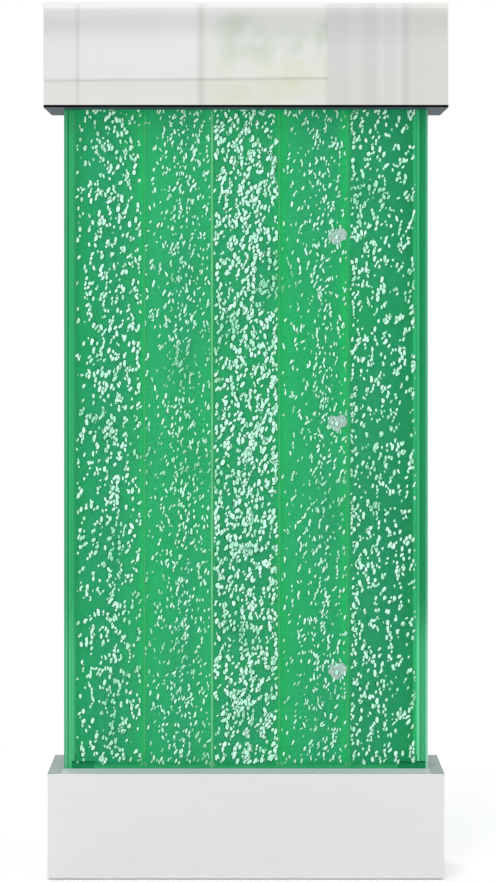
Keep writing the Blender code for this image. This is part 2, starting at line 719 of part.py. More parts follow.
def cradle_frame():
    """Welded angle-iron frame on eight legs that the tank stands on."""
    part = solid("cradle_frame", PAINTED_FRAME, [slab(TANK_X, TANK_Y, CRADLE_LOW, CRADLE_HIGH)])
    cut(part, "inside", [slab(TANK_X - ANGLE_WALL, TANK_Y - ANGLE_WALL,
                              CRADLE_LOW - OVERRUN, CRADLE_HIGH - ANGLE_WALL)])
    cut(part, "top_opening", [slab(LEDGE_X, LEDGE_Y, CRADLE_HIGH - ANGLE_WALL - OVERRUN,
                                   CRADLE_HIGH + OVERRUN)])
    low = CRADLE_LOW - OVERRUN
    high = CRADLE_HIGH - ANGLE
    cut(part, "end_windows", [box((-TANK_X - OVERRUN, -LEDGE_Y, low), (TANK_X + OVERRUN, LEDGE_Y, high))])
    leg = ANGLE / 2
    edges = [-LEDGE_X, -MID_LEG_X - leg, -MID_LEG_X + leg, MID_LEG_X - leg, MID_LEG_X + leg, LEDGE_X]
    cut(part, "long_windows", [
        box((left, -TANK_Y - OVERRUN, low), (right, TANK_Y + OVERRUN, high))
        for left, right in zip(edges[0::2], edges[1::2])])


def cradle_pad():
    """Rubber ring between the cradle and the tank's underside."""
    part = solid("cradle_pad", RUBBER, [slab(TANK_X, TANK_Y, PAD_LOW, PAD_HIGH)])
    cut(part, "opening", [slab(LEDGE_X, LEDGE_Y, PAD_LOW - OVERRUN, PAD_HIGH + OVERRUN)])


def tank_floor():
    """Floor plate, bored for the five risers and the drain."""
    part = solid("tank_bottom", CLEAR_ACRYLIC, [slab(TANK_X, TANK_Y, TANK_LOW, TANK_FLOOR_TOP)])
    low = TANK_LOW - OVERRUN
    high = TANK_FLOOR_TOP + OVERRUN
    holes = [rod((x, MANIFOLD_Y, low), (x, MANIFOLD_Y, high), RISER_DIAMETER / 2 + SEAT_GAP)
             for x in RISER_XS]
    holes.append(rod((DRAIN_X, 0, low), (DRAIN_X, 0, high), DRAIN_NIPPLE_DIAMETER / 2 + SEAT_GAP))
    cut(part, "holes", holes)


def tank_long_wall(name, side):
    """Front or back wall, over the whole width."""
    outer = side * TANK_Y
    inner = side * WATER_Y
    solid(name, CLEAR_ACRYLIC, [box((-TANK_X, min(outer, inner), WALL_LOW),
                                    (TANK_X, max(outer, inner), TANK_TOP))])


def tank_end_wall(name, side):
    """End wall between the long walls, with a square bar in each corner of the tank."""
    outer = side * TANK_X
    face = side * WATER_X
    bars = side * (WATER_X - CORNER_BAR)
    half_y = WATER_Y - SEAT_GAP
    part = solid(name, CLEAR_ACRYLIC, [box((min(outer, bars), -half_y, WALL_LOW),
                                           (max(outer, bars), half_y, TANK_TOP))])
    past = side * (WATER_X - CORNER_BAR - OVERRUN)
    gap_y = half_y - CORNER_BAR
    cut(part, "between_bars", [box((min(face, past), -gap_y, WALL_LOW - OVERRUN),
                                   (max(face, past), gap_y, TANK_TOP + OVERRUN))])


def divider(number, x):
    """Sheet between two channels, with a hole that keeps their levels alike."""
    half = DIVIDER / 2
    half_y = WATER_Y - SEAT_GAP
    part = solid(f"divider_{number}", CLEAR_ACRYLIC,
                 [box((x - half, -half_y, WALL_LOW), (x + half, half_y, BRACE_LOW - SEAT_GAP))])
    z = AIR_BOX_HIGH + CROSS_HOLE_RISE
    cut(part, "cross_hole", [rod((x - half - OVERRUN, 0, z), (x + half + OVERRUN, 0, z),
                                 CROSS_HOLE_DIAMETER / 2, SMALL_SIDES)])


def top_brace():
    """Plate between the long walls near the rim, with a fill opening over each channel."""
    half_y = WATER_Y - SEAT_GAP
    part = solid("top_brace", CLEAR_ACRYLIC, [slab(BRACE_X, half_y, BRACE_LOW, BRACE_HIGH)])
    half = (CHANNEL_PITCH - BRACE_BAR) / 2
    opening_y = half_y - BRACE_RIM
    cut(part, "fill_openings", [
        box((x - half, -opening_y, BRACE_LOW - OVERRUN), (x + half, opening_y, BRACE_HIGH + OVERRUN))
        for x in CHANNEL_MIDDLES])


def air_box(number, left, right):
    """Upturned box on the tank's floor, with two rows of fine holes for the bubbles."""
    half_y = WATER_Y - SEAT_GAP
    part = solid(f"air_box_{number}", FROSTED_ACRYLIC,
                 [box((left, -half_y, WALL_LOW), (right, half_y, AIR_BOX_HIGH))])
    cut(part, "inside", [box((left + AIR_BOX_WALL, -half_y + AIR_BOX_WALL, WALL_LOW - OVERRUN),
                             (right - AIR_BOX_WALL, half_y - AIR_BOX_WALL, AIR_BOX_HIGH - AIR_BOX_TOP))])
    pitch = min(JET_PITCH, (right - left - 2 * AIR_BOX_WALL) / JETS_ALONG)
    centre = (left + right) / 2
    low = AIR_BOX_HIGH - AIR_BOX_TOP - OVERRUN
    cut(part, "jets", [
        rod((x, y, low), (x, y, AIR_BOX_HIGH + OVERRUN), JET_DIAMETER / 2, JET_SIDES)
        for x in (centre + (k - (JETS_ALONG - 1) / 2) * pitch for k in range(JETS_ALONG))
        for y in (-JET_ROW, JET_ROW)])


# Air


def pump():
    """Air pump: a case with a nozzle, and the cover over it."""
    left = PUMP_RIGHT_X - PUMP_LENGTH
    back = PUMP_BACK_Y
    case = solid("pump_case", BLACK_PLASTIC,
                 [box((left, PUMP_FRONT_Y, PUMP_LOW), (PUMP_RIGHT_X, back, PUMP_SEAM))])
    round_edges(case, PUMP_CORNER, 3, is_upright)
    cut(case, "inside", [box((left + PUMP_CORNER, PUMP_FRONT_Y + PUMP_WALL, PUMP_LOW + PUMP_WALL),
                             (PUMP_RIGHT_X - PUMP_CORNER, back - PUMP_WALL, PUMP_SEAM + OVERRUN))])
    nozzle = (PUMP_RIGHT_X + PUMP_NOZZLE_LENGTH, PUMP_Y, NOZZLE_Z)
    join(case, "nozzle", [rod((PUMP_RIGHT_X - PUMP_CORNER / 2, PUMP_Y, NOZZLE_Z), nozzle,
                              BARB_DIAMETER / 2)])
    cut(case, "nozzle_bore", [rod((PUMP_RIGHT_X - PUMP_CORNER - OVERRUN, PUMP_Y, NOZZLE_Z),
                                  (nozzle[0] + OVERRUN, PUMP_Y, NOZZLE_Z), BARB_BORE / 2,
                                  SMALL_SIDES)])
    low = PUMP_SEAM + SEAT_GAP
    high = low + PUMP_COVER_HEIGHT
    cover = solid("pump_cover", GREY_PLASTIC,
                  [box((left, PUMP_FRONT_Y, low), (PUMP_RIGHT_X, back, high))])
    round_edges(cover, PUMP_CORNER, 3, is_upright_or_top)
    cut(cover, "inside", [box((left + PUMP_CORNER, PUMP_FRONT_Y + PUMP_CORNER, low - OVERRUN),
                              (PUMP_RIGHT_X - PUMP_CORNER, back - PUMP_CORNER, high - PUMP_CORNER))])


def check_valve():
    """One-way valve whose cuff pushes over the pump's nozzle. It keeps water out of the pump."""
    socket = BARB_DIAMETER / 2 + SEAT_GAP
    depth = PUMP_NOZZLE_LENGTH - CHECK_STANDOFF + SEAT_GAP
    shoulder = CHECK_CUFF_LENGTH + CHECK_BODY_LENGTH
    length = shoulder + BARB_LENGTH
    turned("check_valve", BLUE_PLASTIC, [
        (BARB_DIAMETER / 2, length), (BARB_DIAMETER / 2, shoulder),
        (CHECK_BODY_DIAMETER / 2, shoulder), (CHECK_BODY_DIAMETER / 2, CHECK_CUFF_LENGTH),
        (CHECK_CUFF_DIAMETER / 2, CHECK_CUFF_LENGTH), (CHECK_CUFF_DIAMETER / 2, 0), (socket, 0),
        (socket, depth), (BARB_BORE / 2, depth), (BARB_BORE / 2, length),
    ], (PUMP_RIGHT_X + CHECK_STANDOFF, PUMP_Y, NOZZLE_Z), bored=True, tilt=(0, math.pi / 2, 0))
    return PUMP_RIGHT_X + CHECK_STANDOFF + length


def air_hose(start_x):
    """Hose from the check valve to the manifold's barb."""
    barb_y = MANIFOLD_Y - MANIFOLD_DIAMETER / 2 - BARB_LENGTH
    bend = HOSE_BEND
    middle_z = (NOZZLE_Z + MANIFOLD_Z) / 2
    tube("air_hose", HOSE_PLASTIC, smooth_route([
        (start_x + SEAT_GAP, PUMP_Y, NOZZLE_Z),
        (start_x + bend / 3, PUMP_Y, NOZZLE_Z),
        (start_x + bend * 2 / 3, PUMP_Y, NOZZLE_Z),
        (start_x / 2, PUMP_Y - HOSE_DIAMETER / 4, (NOZZLE_Z + middle_z) / 2),
        (-bend / 2, PUMP_Y + HOSE_DIAMETER / 2, (middle_z + MANIFOLD_Z) / 2),
        (0, barb_y - bend, MANIFOLD_Z),
        (0, barb_y - bend / 3, MANIFOLD_Z),
        (0, barb_y - SEAT_GAP, MANIFOLD_Z),
    ], HOSE_STEP), HOSE_DIAMETER)


def air_manifold():
    """Pipe that shares the air out, with a plug valve and a riser for each channel."""
    radius = MANIFOLD_DIAMETER / 2
    end_x = max(RISER_XS) + radius + MANIFOLD_CAP
    y = MANIFOLD_Y
    part = solid("air_manifold", BRASS,
                 [rod((-end_x, y, MANIFOLD_Z), (end_x, y, MANIFOLD_Z), radius, PIPE_SIDES)])
    riser_high = TANK_FLOOR_TOP + RISER_RISE
    inside = radius / 3
    join(part, "risers", [
        rod((x, y, MANIFOLD_Z + inside), (x, y, riser_high), RISER_DIAMETER / 2, PIPE_SIDES)
        for x in RISER_XS])
    half = VALVE_HEIGHT / 2
    join(part, "valve_bodies", [
        rod((x, y, VALVE_Z - half), (x, y, VALVE_Z + half), VALVE_DIAMETER / 2, PIPE_SIDES)
        for x in RISER_XS])
    boss_y = y + VALVE_BOSS_REACH
    join(part, "valve_bosses", [
        rod((x, y + inside, VALVE_Z), (x, boss_y, VALVE_Z), VALVE_BOSS_DIAMETER / 2, PIPE_SIDES)
        for x in RISER_XS])
    barb_y = y - radius - BARB_LENGTH
    join(part, "barb", [rod((0, y - inside, MANIFOLD_Z), (0, barb_y, MANIFOLD_Z),
                            BARB_DIAMETER / 2, PIPE_SIDES)])
    bore_x = end_x - MANIFOLD_CAP
    cut(part, "bore", [rod((-bore_x, y, MANIFOLD_Z), (bore_x, y, MANIFOLD_Z), MANIFOLD_BORE / 2,
                           PIPE_SIDES)])
    cut(part, "riser_bores", [
        rod((x, y, MANIFOLD_Z + inside), (x, y, riser_high + OVERRUN), RISER_BORE / 2,
            SMALL_SIDES)
        for x in RISER_XS])
    cut(part, "plug_bores", [
        rod((x, PLUG_END_Y - SEAT_GAP, VALVE_Z), (x, boss_y + OVERRUN, VALVE_Z),
            PLUG_DIAMETER / 2 + SEAT_GAP, PIPE_SIDES)
        for x in RISER_XS])
    cut(part, "barb_bore", [rod((0, y - inside, MANIFOLD_Z), (0, barb_y - OVERRUN, MANIFOLD_Z),
                                BARB_BORE / 2, SMALL_SIDES)])


def air_knob(number, x):
    """Knob of a plug valve: a disc with a wing in line with the plug's hole, open at rest."""
    disc_y = KNOB_Y + KNOB_DISC
    part = solid(f"air_knob_{number}", BLACK_PLASTIC,
                 [rod((x, KNOB_Y, VALVE_Z), (x, disc_y, VALVE_Z), KNOB_DIAMETER / 2, PIPE_SIDES)],
                 origin=(x, KNOB_Y, VALVE_Z))
    inside = (KNOB_Y + disc_y) / 2
    plug = PLUG_DIAMETER / 2
    join(part, "plug", [rod((x, PLUG_END_Y, VALVE_Z), (x, inside, VALVE_Z), plug, PIPE_SIDES)])
    half = KNOB_WING_LENGTH / 2
    thick = KNOB_WING_WIDTH / 2
    join(part, "wing", [box((x - thick, inside, VALVE_Z - half),
                            (x + thick, disc_y + KNOB_WING_HEIGHT, VALVE_Z + half))])
    cut(part, "hole", [rod((x, MANIFOLD_Y, VALVE_Z - plug - OVERRUN),
                           (x, MANIFOLD_Y, VALVE_Z + plug + OVERRUN), PLUG_BORE / 2, SMALL_SIDES)])


# Light


def lamp():
    """LED strip under the tank: an open channel, the board with its LEDs, and a diffuser."""
    half = LAMP_WIDTH / 2
    high = TANK_LOW - SEAT_GAP
    low = high - LAMP_HEIGHT
    end = LAMP_X
    channel = solid("led_channel", ALUMINIUM,
                    [box((-end, LAMP_Y - half, low), (end, LAMP_Y + half, high))])
    inner = half - LAMP_WALL
    cut(channel, "inside", [box((-end - OVERRUN, LAMP_Y - inner, low + LAMP_WALL),
                                (end + OVERRUN, LAMP_Y + inner, high + OVERRUN))])
    board_end = end - BOARD_END
    board_low = low + LAMP_WALL + SEAT_GAP
    board_high = board_low + BOARD_THICK
    half_board = BOARD_WIDTH / 2
    board = solid("led_board", LED_BOARD, [box((-board_end, LAMP_Y - half_board, board_low),
                                               (board_end, LAMP_Y + half_board, board_high))])
    chips = 1 + int((2 * board_end - CHIP_PITCH / 2) / CHIP_PITCH)
    centres = [(k - (chips - 1) / 2) * CHIP_PITCH for k in range(chips)]
    chip = CHIP / 2
    join(board, "leds", [box((x - chip, LAMP_Y - chip, (board_low + board_high) / 2),
                             (x + chip, LAMP_Y + chip, board_high + CHIP_HEIGHT)) for x in centres])
    cover = inner - SEAT_GAP
    cover_high = high - DIFFUSER_DROP
    solid("led_diffuser", FROSTED_ACRYLIC,
          [box((-end, LAMP_Y - cover, cover_high - DIFFUSER), (end, LAMP_Y + cover, cover_high))])
    return board_end, board_low


def led_driver():
    """Driver of the LEDs: a potted box with an ear at each end."""
    half_x = DRIVER_LENGTH / 2
    half_y = (DRIVER_BACK_Y - DRIVER_FRONT_Y) / 2
    part = solid("led_driver", GREY_PLASTIC,
                 [box((DRIVER_X - half_x, DRIVER_Y - half_y, DRIVER_LOW),
                      (DRIVER_X + half_x, DRIVER_Y + half_y, DRIVER_LOW + DRIVER_HEIGHT))])
    round_edges(part, DRIVER_CORNER, 2, is_upright_or_top)
    ear_y = half_y - DRIVER_CORNER * 2
    ear_low = DRIVER_LOW + DRIVER_EAR_THICK / 4
    join(part, "ears", [box((DRIVER_X - half_x - DRIVER_EAR, DRIVER_Y - ear_y, ear_low),
                            (DRIVER_X + half_x + DRIVER_EAR, DRIVER_Y + ear_y,
                             ear_low + DRIVER_EAR_THICK))])


def led_lead(board_end, board_low):
    """Lead from the driver, up past the end of the cradle's ledge, to the board's end."""
    radius = LAMP_LEAD_DIAMETER / 2
    start_x = DRIVER_X + DRIVER_LENGTH / 2 + SEAT_GAP
    start_z = DRIVER_LOW + DRIVER_HEIGHT / 2
    end_z = board_low + radius
    bend = LAMP_LEAD_BEND
    turn_x = LAMP_X + bend
    tube("led_lead", BLACK_PLASTIC, smooth_route([
        (start_x, DRIVER_Y, start_z),
        (start_x + bend / 3, DRIVER_Y, start_z),
        (start_x + bend * 2 / 3, DRIVER_Y, start_z),
        ((start_x + turn_x) / 2 + bend / 2, DRIVER_Y + bend / 6, start_z + bend * 0.7),
        (turn_x - bend / 8, (DRIVER_Y + LAMP_Y) / 2 - bend / 6, (start_z + end_z) / 2),
        (turn_x, LAMP_Y - bend * 0.7, end_z - bend * 0.6),
        (turn_x - bend / 3, LAMP_Y - bend / 8, end_z - bend / 12),
        ((LAMP_X + board_end) / 2 + bend / 4, LAMP_Y, end_z),
        ((LAMP_X + board_end) / 2, LAMP_Y, end_z),
        (board_end + SEAT_GAP, LAMP_Y, end_z),
    ], LAMP_LEAD_STEP), LAMP_LEAD_DIAMETER)


# Mains


def power_inlet():
    """Mains inlet in a flanged body, with a pin socket below and a well for the rocker."""
    half_x = INLET_WIDTH / 2
    half_z = INLET_HEIGHT / 2
    part = solid("power_inlet", BLACK_PLASTIC,
                 [box((INLET_X - half_x, PANEL_Y + SEAT_GAP, INLET_Z - half_z),
                      (INLET_X + half_x, INLET_FACE_Y, INLET_Z + half_z))])
    body_x = INLET_BODY_WIDTH / 2
    body_z = INLET_BODY_HEIGHT / 2
    join(part, "body", [box((INLET_X - body_x, INLET_BACK_Y, INLET_Z - body_z),
                            (INLET_X + body_x, INLET_FACE_Y - INLET_FLANGE / 2, INLET_Z + body_z))])
    socket_z = INLET_Z - SOCKET_DROP
    floor_y = INLET_FACE_Y - SOCKET_DEPTH
    well_x = ROCKER_LENGTH / 2 + ROCKER_ROOM
    well_z = ROCKER_WIDTH / 2 + SEAT_GAP
    rocker_z = INLET_Z + ROCKER_RISE
    cut(part, "hollows", [
        box((INLET_X - SOCKET_WIDTH / 2, floor_y, socket_z - SOCKET_HEIGHT / 2),
            (INLET_X + SOCKET_WIDTH / 2, INLET_FACE_Y + OVERRUN, socket_z + SOCKET_HEIGHT / 2)),
        box((INLET_X - well_x, INLET_FACE_Y - ROCKER_WELL, rocker_z - well_z),
            (INLET_X + well_x, INLET_FACE_Y + OVERRUN, rocker_z + well_z)),
    ])
    pins = [(-PIN_SPACING, 0), (PIN_SPACING, 0), (0, PIN_OFFSET)]
    join(part, "pins", [
        box((INLET_X + x - PIN_WIDTH / 2, floor_y - OVERRUN, socket_z + z - PIN_HEIGHT / 2),
            (INLET_X + x + PIN_WIDTH / 2, floor_y + PIN_LENGTH, socket_z + z + PIN_HEIGHT / 2))
        for x, z in pins])


def power_rocker():
    """Rocker switch, tilted to its off side at rest, about a pivot along Z."""
    half = ROCKER_LENGTH / 2
    curve = bpy.data.curves.new("power_rocker", "CURVE")
    curve.dimensions = "2D"
    curve.fill_mode = "BOTH"
    curve.extrude = ROCKER_WIDTH / 2
    spline = curve.splines.new("POLY")
    outline = [(-half, ROCKER_CREST), (-half, -ROCKER_ROOT), (half, -ROCKER_ROOT),
               (half, ROCKER_CREST), (0, ROCKER_VALLEY)]
    spline.points.add(len(outline) - 1)
    for point, (x, y) in zip(spline.points, outline):
        point.co = (x, y, 0, 1)
    spline.use_cyclic_u = True
    rocker = put("power_rocker", curve, WHITE_PLASTIC,
                 (INLET_X, ROCKER_PIVOT_Y, INLET_Z + ROCKER_RISE))
    rocker.rotation_euler = (0, 0, -math.radians(ROCKER_TILT_DEG))


def mains_lead():
    """Lead from the inlet's back, along the tray and between the cradle's legs, to the driver."""
    radius = MAINS_LEAD_DIAMETER / 2
    bend = MAINS_LEAD_BEND
    start_z = INLET_Z - SOCKET_DROP
    rest_z = TRAY_TOP + 2 * SEAT_GAP + radius
    end_x = DRIVER_X - DRIVER_LENGTH / 2 - SEAT_GAP
    end_z = DRIVER_LOW + DRIVER_HEIGHT / 2
    tube("mains_lead", BLACK_PLASTIC, smooth_route([
        (INLET_X, INLET_BACK_Y - SEAT_GAP, start_z),
        (INLET_X, INLET_BACK_Y - bend / 3, start_z),
        (INLET_X, INLET_BACK_Y - bend * 2 / 3, start_z),
        (INLET_X, INLET_BACK_Y - bend * 1.2, start_z - bend * 0.5),
        (INLET_X, INLET_BACK_Y - bend * 1.5, (start_z + rest_z) / 2 + bend * 0.4),
        (INLET_X + bend / 6, MANIFOLD_Y + bend, rest_z + bend * 0.9),
        (INLET_X + bend / 3, MANIFOLD_Y + bend * 0.6, rest_z + bend * 0.4),
        (INLET_X + bend * 0.7, MANIFOLD_Y + bend * 0.2, rest_z + bend * 0.12),
        (INLET_X + bend * 1.2, MANIFOLD_Y - bend * 0.1, rest_z + radius / 6),
        (INLET_X + bend * 2, MANIFOLD_Y - bend / 3, rest_z),
        (-MID_LEG_X - bend / 2, -bend / 3, rest_z),
        (-bend * 1.2, -bend, rest_z),
        (0, DRIVER_Y + bend, rest_z),
        (end_x - bend * 1.6, DRIVER_Y + bend / 4, (rest_z * 3 + end_z) / 4),
        (end_x - bend * 2 / 3, DRIVER_Y, end_z),
        (end_x - bend / 3, DRIVER_Y, end_z),
        (end_x, DRIVER_Y, end_z),
    ], MAINS_LEAD_STEP), MAINS_LEAD_DIAMETER)


# Drain


def drain_valve():
    """Plug valve under the tank, with a nipple through its floor and a barb for a hose."""
    top = TANK_FLOOR_TOP - DRAIN_Z
    collar_high = TANK_LOW - SEAT_GAP - DRAIN_Z
    collar_low = collar_high - DRAIN_COLLAR
    half = DRAIN_BODY_HEIGHT / 2
    nipple = DRAIN_NIPPLE_DIAMETER / 2
    collar = DRAIN_COLLAR_DIAMETER / 2
    neck = DRAIN_NECK_DIAMETER / 2
    body = DRAIN_BODY_DIAMETER / 2
    wide = DRAIN_BARB_DIAMETER / 2
    narrow = DRAIN_BARB_ROOT / 2
    pitch = DRAIN_BARB_LENGTH / 2 / DRAIN_BARBS
    barbs_top = -half - DRAIN_BARB_LENGTH / 2
    barbs = []
    for k in range(DRAIN_BARBS):
        barbs += [(wide, barbs_top - k * pitch), (narrow, barbs_top - (k + 1) * pitch)]
    end = barbs[-1][1]
    part = turned("drain_valve", BRASS, [
        (nipple, top), (nipple, collar_high), (collar, collar_high), (collar, collar_low),
        (neck, collar_low), (neck, half), (body, half), (body, -half), (narrow, -half),
        (narrow, barbs_top), *barbs, (DRAIN_BORE / 2, end), (DRAIN_BORE / 2, top),
    ], (DRAIN_X, 0, DRAIN_Z), bored=True)
    join(part, "boss", [rod((DRAIN_X, body / 2, DRAIN_Z), (DRAIN_X, DRAIN_BOSS_REACH, DRAIN_Z),
                            DRAIN_BOSS_DIAMETER / 2)])
    cut(part, "plug_bore", [rod((DRAIN_X, -DRAIN_PLUG_REACH - SEAT_GAP, DRAIN_Z),
                                (DRAIN_X, DRAIN_BOSS_REACH + OVERRUN, DRAIN_Z),
                                DRAIN_PLUG_DIAMETER / 2 + SEAT_GAP)])


def drain_lever():
    """Lever and plug of the drain, with a hole along the lever: level is shut, down is open."""
    face = DRAIN_BOSS_REACH + SEAT_GAP
    half = LEVER_WIDTH / 2
    part = solid("drain_lever", BLUE_PLASTIC,
                 [box((LEVER_END_X, face, DRAIN_Z - half),
                      (DRAIN_X + LEVER_TAIL, face + LEVER_THICK, DRAIN_Z + half))],
                 origin=(DRAIN_X, face, DRAIN_Z))
    plug = DRAIN_PLUG_DIAMETER / 2
    join(part, "plug", [rod((DRAIN_X, -DRAIN_PLUG_REACH, DRAIN_Z),
                            (DRAIN_X, face + LEVER_THICK / 2, DRAIN_Z), plug)])
    cut(part, "hole", [rod((DRAIN_X - plug - OVERRUN, 0, DRAIN_Z), (DRAIN_X + plug + OVERRUN, 0, DRAIN_Z),
                           DRAIN_BORE / 2)])


# Header


def header_soffit():
    """Black board under the header, with the slot that the tank comes up through."""
    high = HEADER_LOW + SOFFIT
    part = solid("header_soffit", BLACK_BOARD, [slab(HEADER_X, HEADER_Y, HEADER_LOW, high)])
    cut(part, "slot", [slab(TANK_X + REVEAL, TANK_Y + REVEAL, HEADER_LOW - OVERRUN, high + OVERRUN)])


def header_shell():
    """Four sides of the header, with a flange turned in over the soffit."""
    part = solid("header_shell", POLISHED_STEEL, [slab(HEADER_X, HEADER_Y, SHELL_LOW, SHELL_HIGH)])
    round_edges(part, BEND_RADIUS, 3, is_upright)
    cut(part, "inside", [slab(HEADER_X - SHEET, HEADER_Y - SHEET, SHELL_LOW + SHEET,
                              SHELL_HIGH + OVERRUN)])
    cut(part, "bottom_opening", [slab(HEADER_X - HEADER_FLANGE, HEADER_Y - HEADER_FLANGE,
                                      SHELL_LOW - OVERRUN, SHELL_LOW + SHEET + OVERRUN)])


def header_lid():
    """Lift-off lid, with a lip that locates it inside the shell."""
    part = solid("header_lid", POLISHED_STEEL, [slab(HEADER_X, HEADER_Y, LID_LOW, TOTAL_HEIGHT)],
                 origin=(0, 0, LID_LOW))
    round_edges(part, BEND_RADIUS, 3, is_upright_or_top)
    inset = SHEET + SEAT_GAP
    join(part, "lip", [slab(HEADER_X - inset, HEADER_Y - inset, LID_LOW - LID_LIP,
                            (LID_LOW + TOTAL_HEIGHT) / 2)])
    cut(part, "inside", [slab(HEADER_X - inset - SHEET, HEADER_Y - inset - SHEET,
                              LID_LOW - LID_LIP - OVERRUN, TOTAL_HEIGHT - SHEET)])


def header_crossbar(name, x):
    """Square tube across the tank's rim that carries the shell by its long sides."""
    half = CROSSBAR / 2
    half_y = HEADER_Y - SHEET - SEAT_GAP
    low = TANK_TOP + SEAT_GAP
    part = solid(name, ZINC_STEEL, [box((x - half, -half_y, low), (x + half, half_y, low + CROSSBAR))])
    hollow = half - CROSSBAR_WALL
    cut(part, "hollow", [box((x - hollow, -half_y - OVERRUN, low + CROSSBAR_WALL),
                             (x + hollow, half_y + OVERRUN, low + CROSSBAR - CROSSBAR_WALL))])


def build():
    base_wrap()
    base_top_plate()
    base_back_panel()
    floor_tray()
    for place, (x, y) in FEET.items():
        foot(place, x, y)
    service_door()
    hinge_leaf("hinge_leaf_panel", 1, 0)
    hinge_leaf("hinge_leaf_door", -1, 1)
    hinge_pin()
    door_pull()
    door_magnet()
    cradle_frame()
    cradle_pad()
    tank_floor()
    tank_long_wall("tank_front", -1)
    tank_long_wall("tank_back", 1)
    tank_end_wall("tank_left", -1)
    tank_end_wall("tank_right", 1)
    for number in range(1, CHANNELS):
        divider(number, CHANNEL_MIDDLES[number] - CHANNEL_PITCH / 2)
    top_brace()
    for number, (left, right) in enumerate(AIR_BOX_SPANS, 1):
        air_box(number, left, right)
    pump()
    hose_start = check_valve()
    air_hose(hose_start)
    air_manifold()
    for number, x in enumerate(RISER_XS, 1):
        air_knob(number, x)
    board_end, board_low = lamp()
    led_driver()
    led_lead(board_end, board_low)
    power_inlet()
    power_rocker()
    mains_lead()
    drain_valve()
    drain_lever()
    header_soffit()
    header_shell()
    header_lid()
    header_crossbar("header_crossbar_left", -CROSSBAR_X)
    header_crossbar("header_crossbar_right", CROSSBAR_X)


build()
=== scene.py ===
# %% [markdown]
# # A bubble wall panel
#
# The real thing is a tall, thin tank of water between a steel base and a steel header. Air
# rises through five channels in rows of bubbles, and green LEDs under the tank light the
# water from below. The frame brings in every hard part at its true place and size. This
# lesson dresses it: finishes, then the water, the bubbles, the threads and the screws.
#
# Everything is in metres. +Z is up, the front faces -Y, and the origin is on the floor.

import json
import math

import bmesh
import bpy
import numpy as np
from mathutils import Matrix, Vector

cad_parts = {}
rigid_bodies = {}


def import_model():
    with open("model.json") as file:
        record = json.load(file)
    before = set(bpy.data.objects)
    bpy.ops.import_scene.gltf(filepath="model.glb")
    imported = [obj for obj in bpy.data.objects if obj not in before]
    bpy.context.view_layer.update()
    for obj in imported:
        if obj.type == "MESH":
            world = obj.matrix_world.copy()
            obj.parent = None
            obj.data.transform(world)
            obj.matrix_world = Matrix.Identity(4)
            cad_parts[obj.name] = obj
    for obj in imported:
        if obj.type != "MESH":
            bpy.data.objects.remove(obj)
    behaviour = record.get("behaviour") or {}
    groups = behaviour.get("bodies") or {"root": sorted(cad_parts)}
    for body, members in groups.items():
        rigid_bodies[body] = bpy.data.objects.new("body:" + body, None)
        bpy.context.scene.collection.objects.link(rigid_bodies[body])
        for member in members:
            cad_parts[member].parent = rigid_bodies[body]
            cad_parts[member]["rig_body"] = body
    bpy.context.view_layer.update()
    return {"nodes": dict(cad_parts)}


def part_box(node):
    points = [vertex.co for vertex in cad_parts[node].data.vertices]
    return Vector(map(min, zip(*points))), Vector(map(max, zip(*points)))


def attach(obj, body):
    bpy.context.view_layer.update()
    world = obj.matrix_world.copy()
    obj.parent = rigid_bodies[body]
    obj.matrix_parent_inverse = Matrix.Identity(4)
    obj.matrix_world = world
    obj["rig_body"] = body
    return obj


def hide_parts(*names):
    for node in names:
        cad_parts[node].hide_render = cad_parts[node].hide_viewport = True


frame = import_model()
nodes = frame["nodes"]

# %% [markdown]
# ## The camera
#
# The photograph looks straight at the front from about six metres away. Its horizon lies
# well above the middle of the picture, so the lens is shifted down instead of tilted. A
# tilted camera would make the upright edges lean.

# %% The camera
CAMERA_HEIGHT = 1.216
CAMERA_DISTANCE = 6.125
CLIP_END = 60
LENS = 117.4
SHIFT_RIGHT = 0.0029
SHIFT_DOWN = 0.1633

lens = bpy.data.cameras.new("camera")
lens.lens = LENS
lens.shift_x = SHIFT_RIGHT
lens.shift_y = -SHIFT_DOWN
lens.clip_end = CLIP_END
camera = bpy.data.objects.new("camera", lens)
camera.location = (0, -CAMERA_DISTANCE, CAMERA_HEIGHT)
camera.rotation_euler = (math.pi / 2, 0, 0)
bpy.context.scene.collection.objects.link(camera)
bpy.context.scene.camera = camera
bpy.context.scene.view_settings.view_transform = "Standard"
print(f"camera {CAMERA_DISTANCE} m in front, {LENS} mm lens")

# %% [markdown]
# ## Helpers for meshes
#
# A curved surface is a grid of points: one parameter runs along the rows and the other
# along the columns. Working the whole grid out as numpy arrays is quick, and the same
# helper then joins neighbouring points into faces. Spin or Screw modifiers could turn the
# round pieces, but a formula also takes threads, ribs and waves.

# %% Mesh helpers
def put(name, points, faces, finish, body="panel", slot="clear_acrylic", smooth=True):
    """Make a mesh from arrays of points and faces, give it a finish and hang it on a body."""
    mesh = bpy.data.meshes.new(name)
    count, corners = faces.shape
    mesh.vertices.add(len(points))
    mesh.vertices.foreach_set("co", np.asarray(points, np.float32).ravel())
    mesh.loops.add(count * corners)
    mesh.loops.foreach_set("vertex_index", faces.astype(np.int32).ravel())
    mesh.polygons.add(count)
    mesh.polygons.foreach_set("loop_start", np.arange(0, count * corners, corners, dtype=np.int32))
    mesh.polygons.foreach_set("use_smooth", np.full(count, smooth))
    mesh.update(calc_edges=True)
    mesh.validate()
    mesh.materials.append(finish)
    piece = bpy.data.objects.new(name, mesh)
    bpy.context.scene.collection.objects.link(piece)
    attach(piece, body)
    return piece


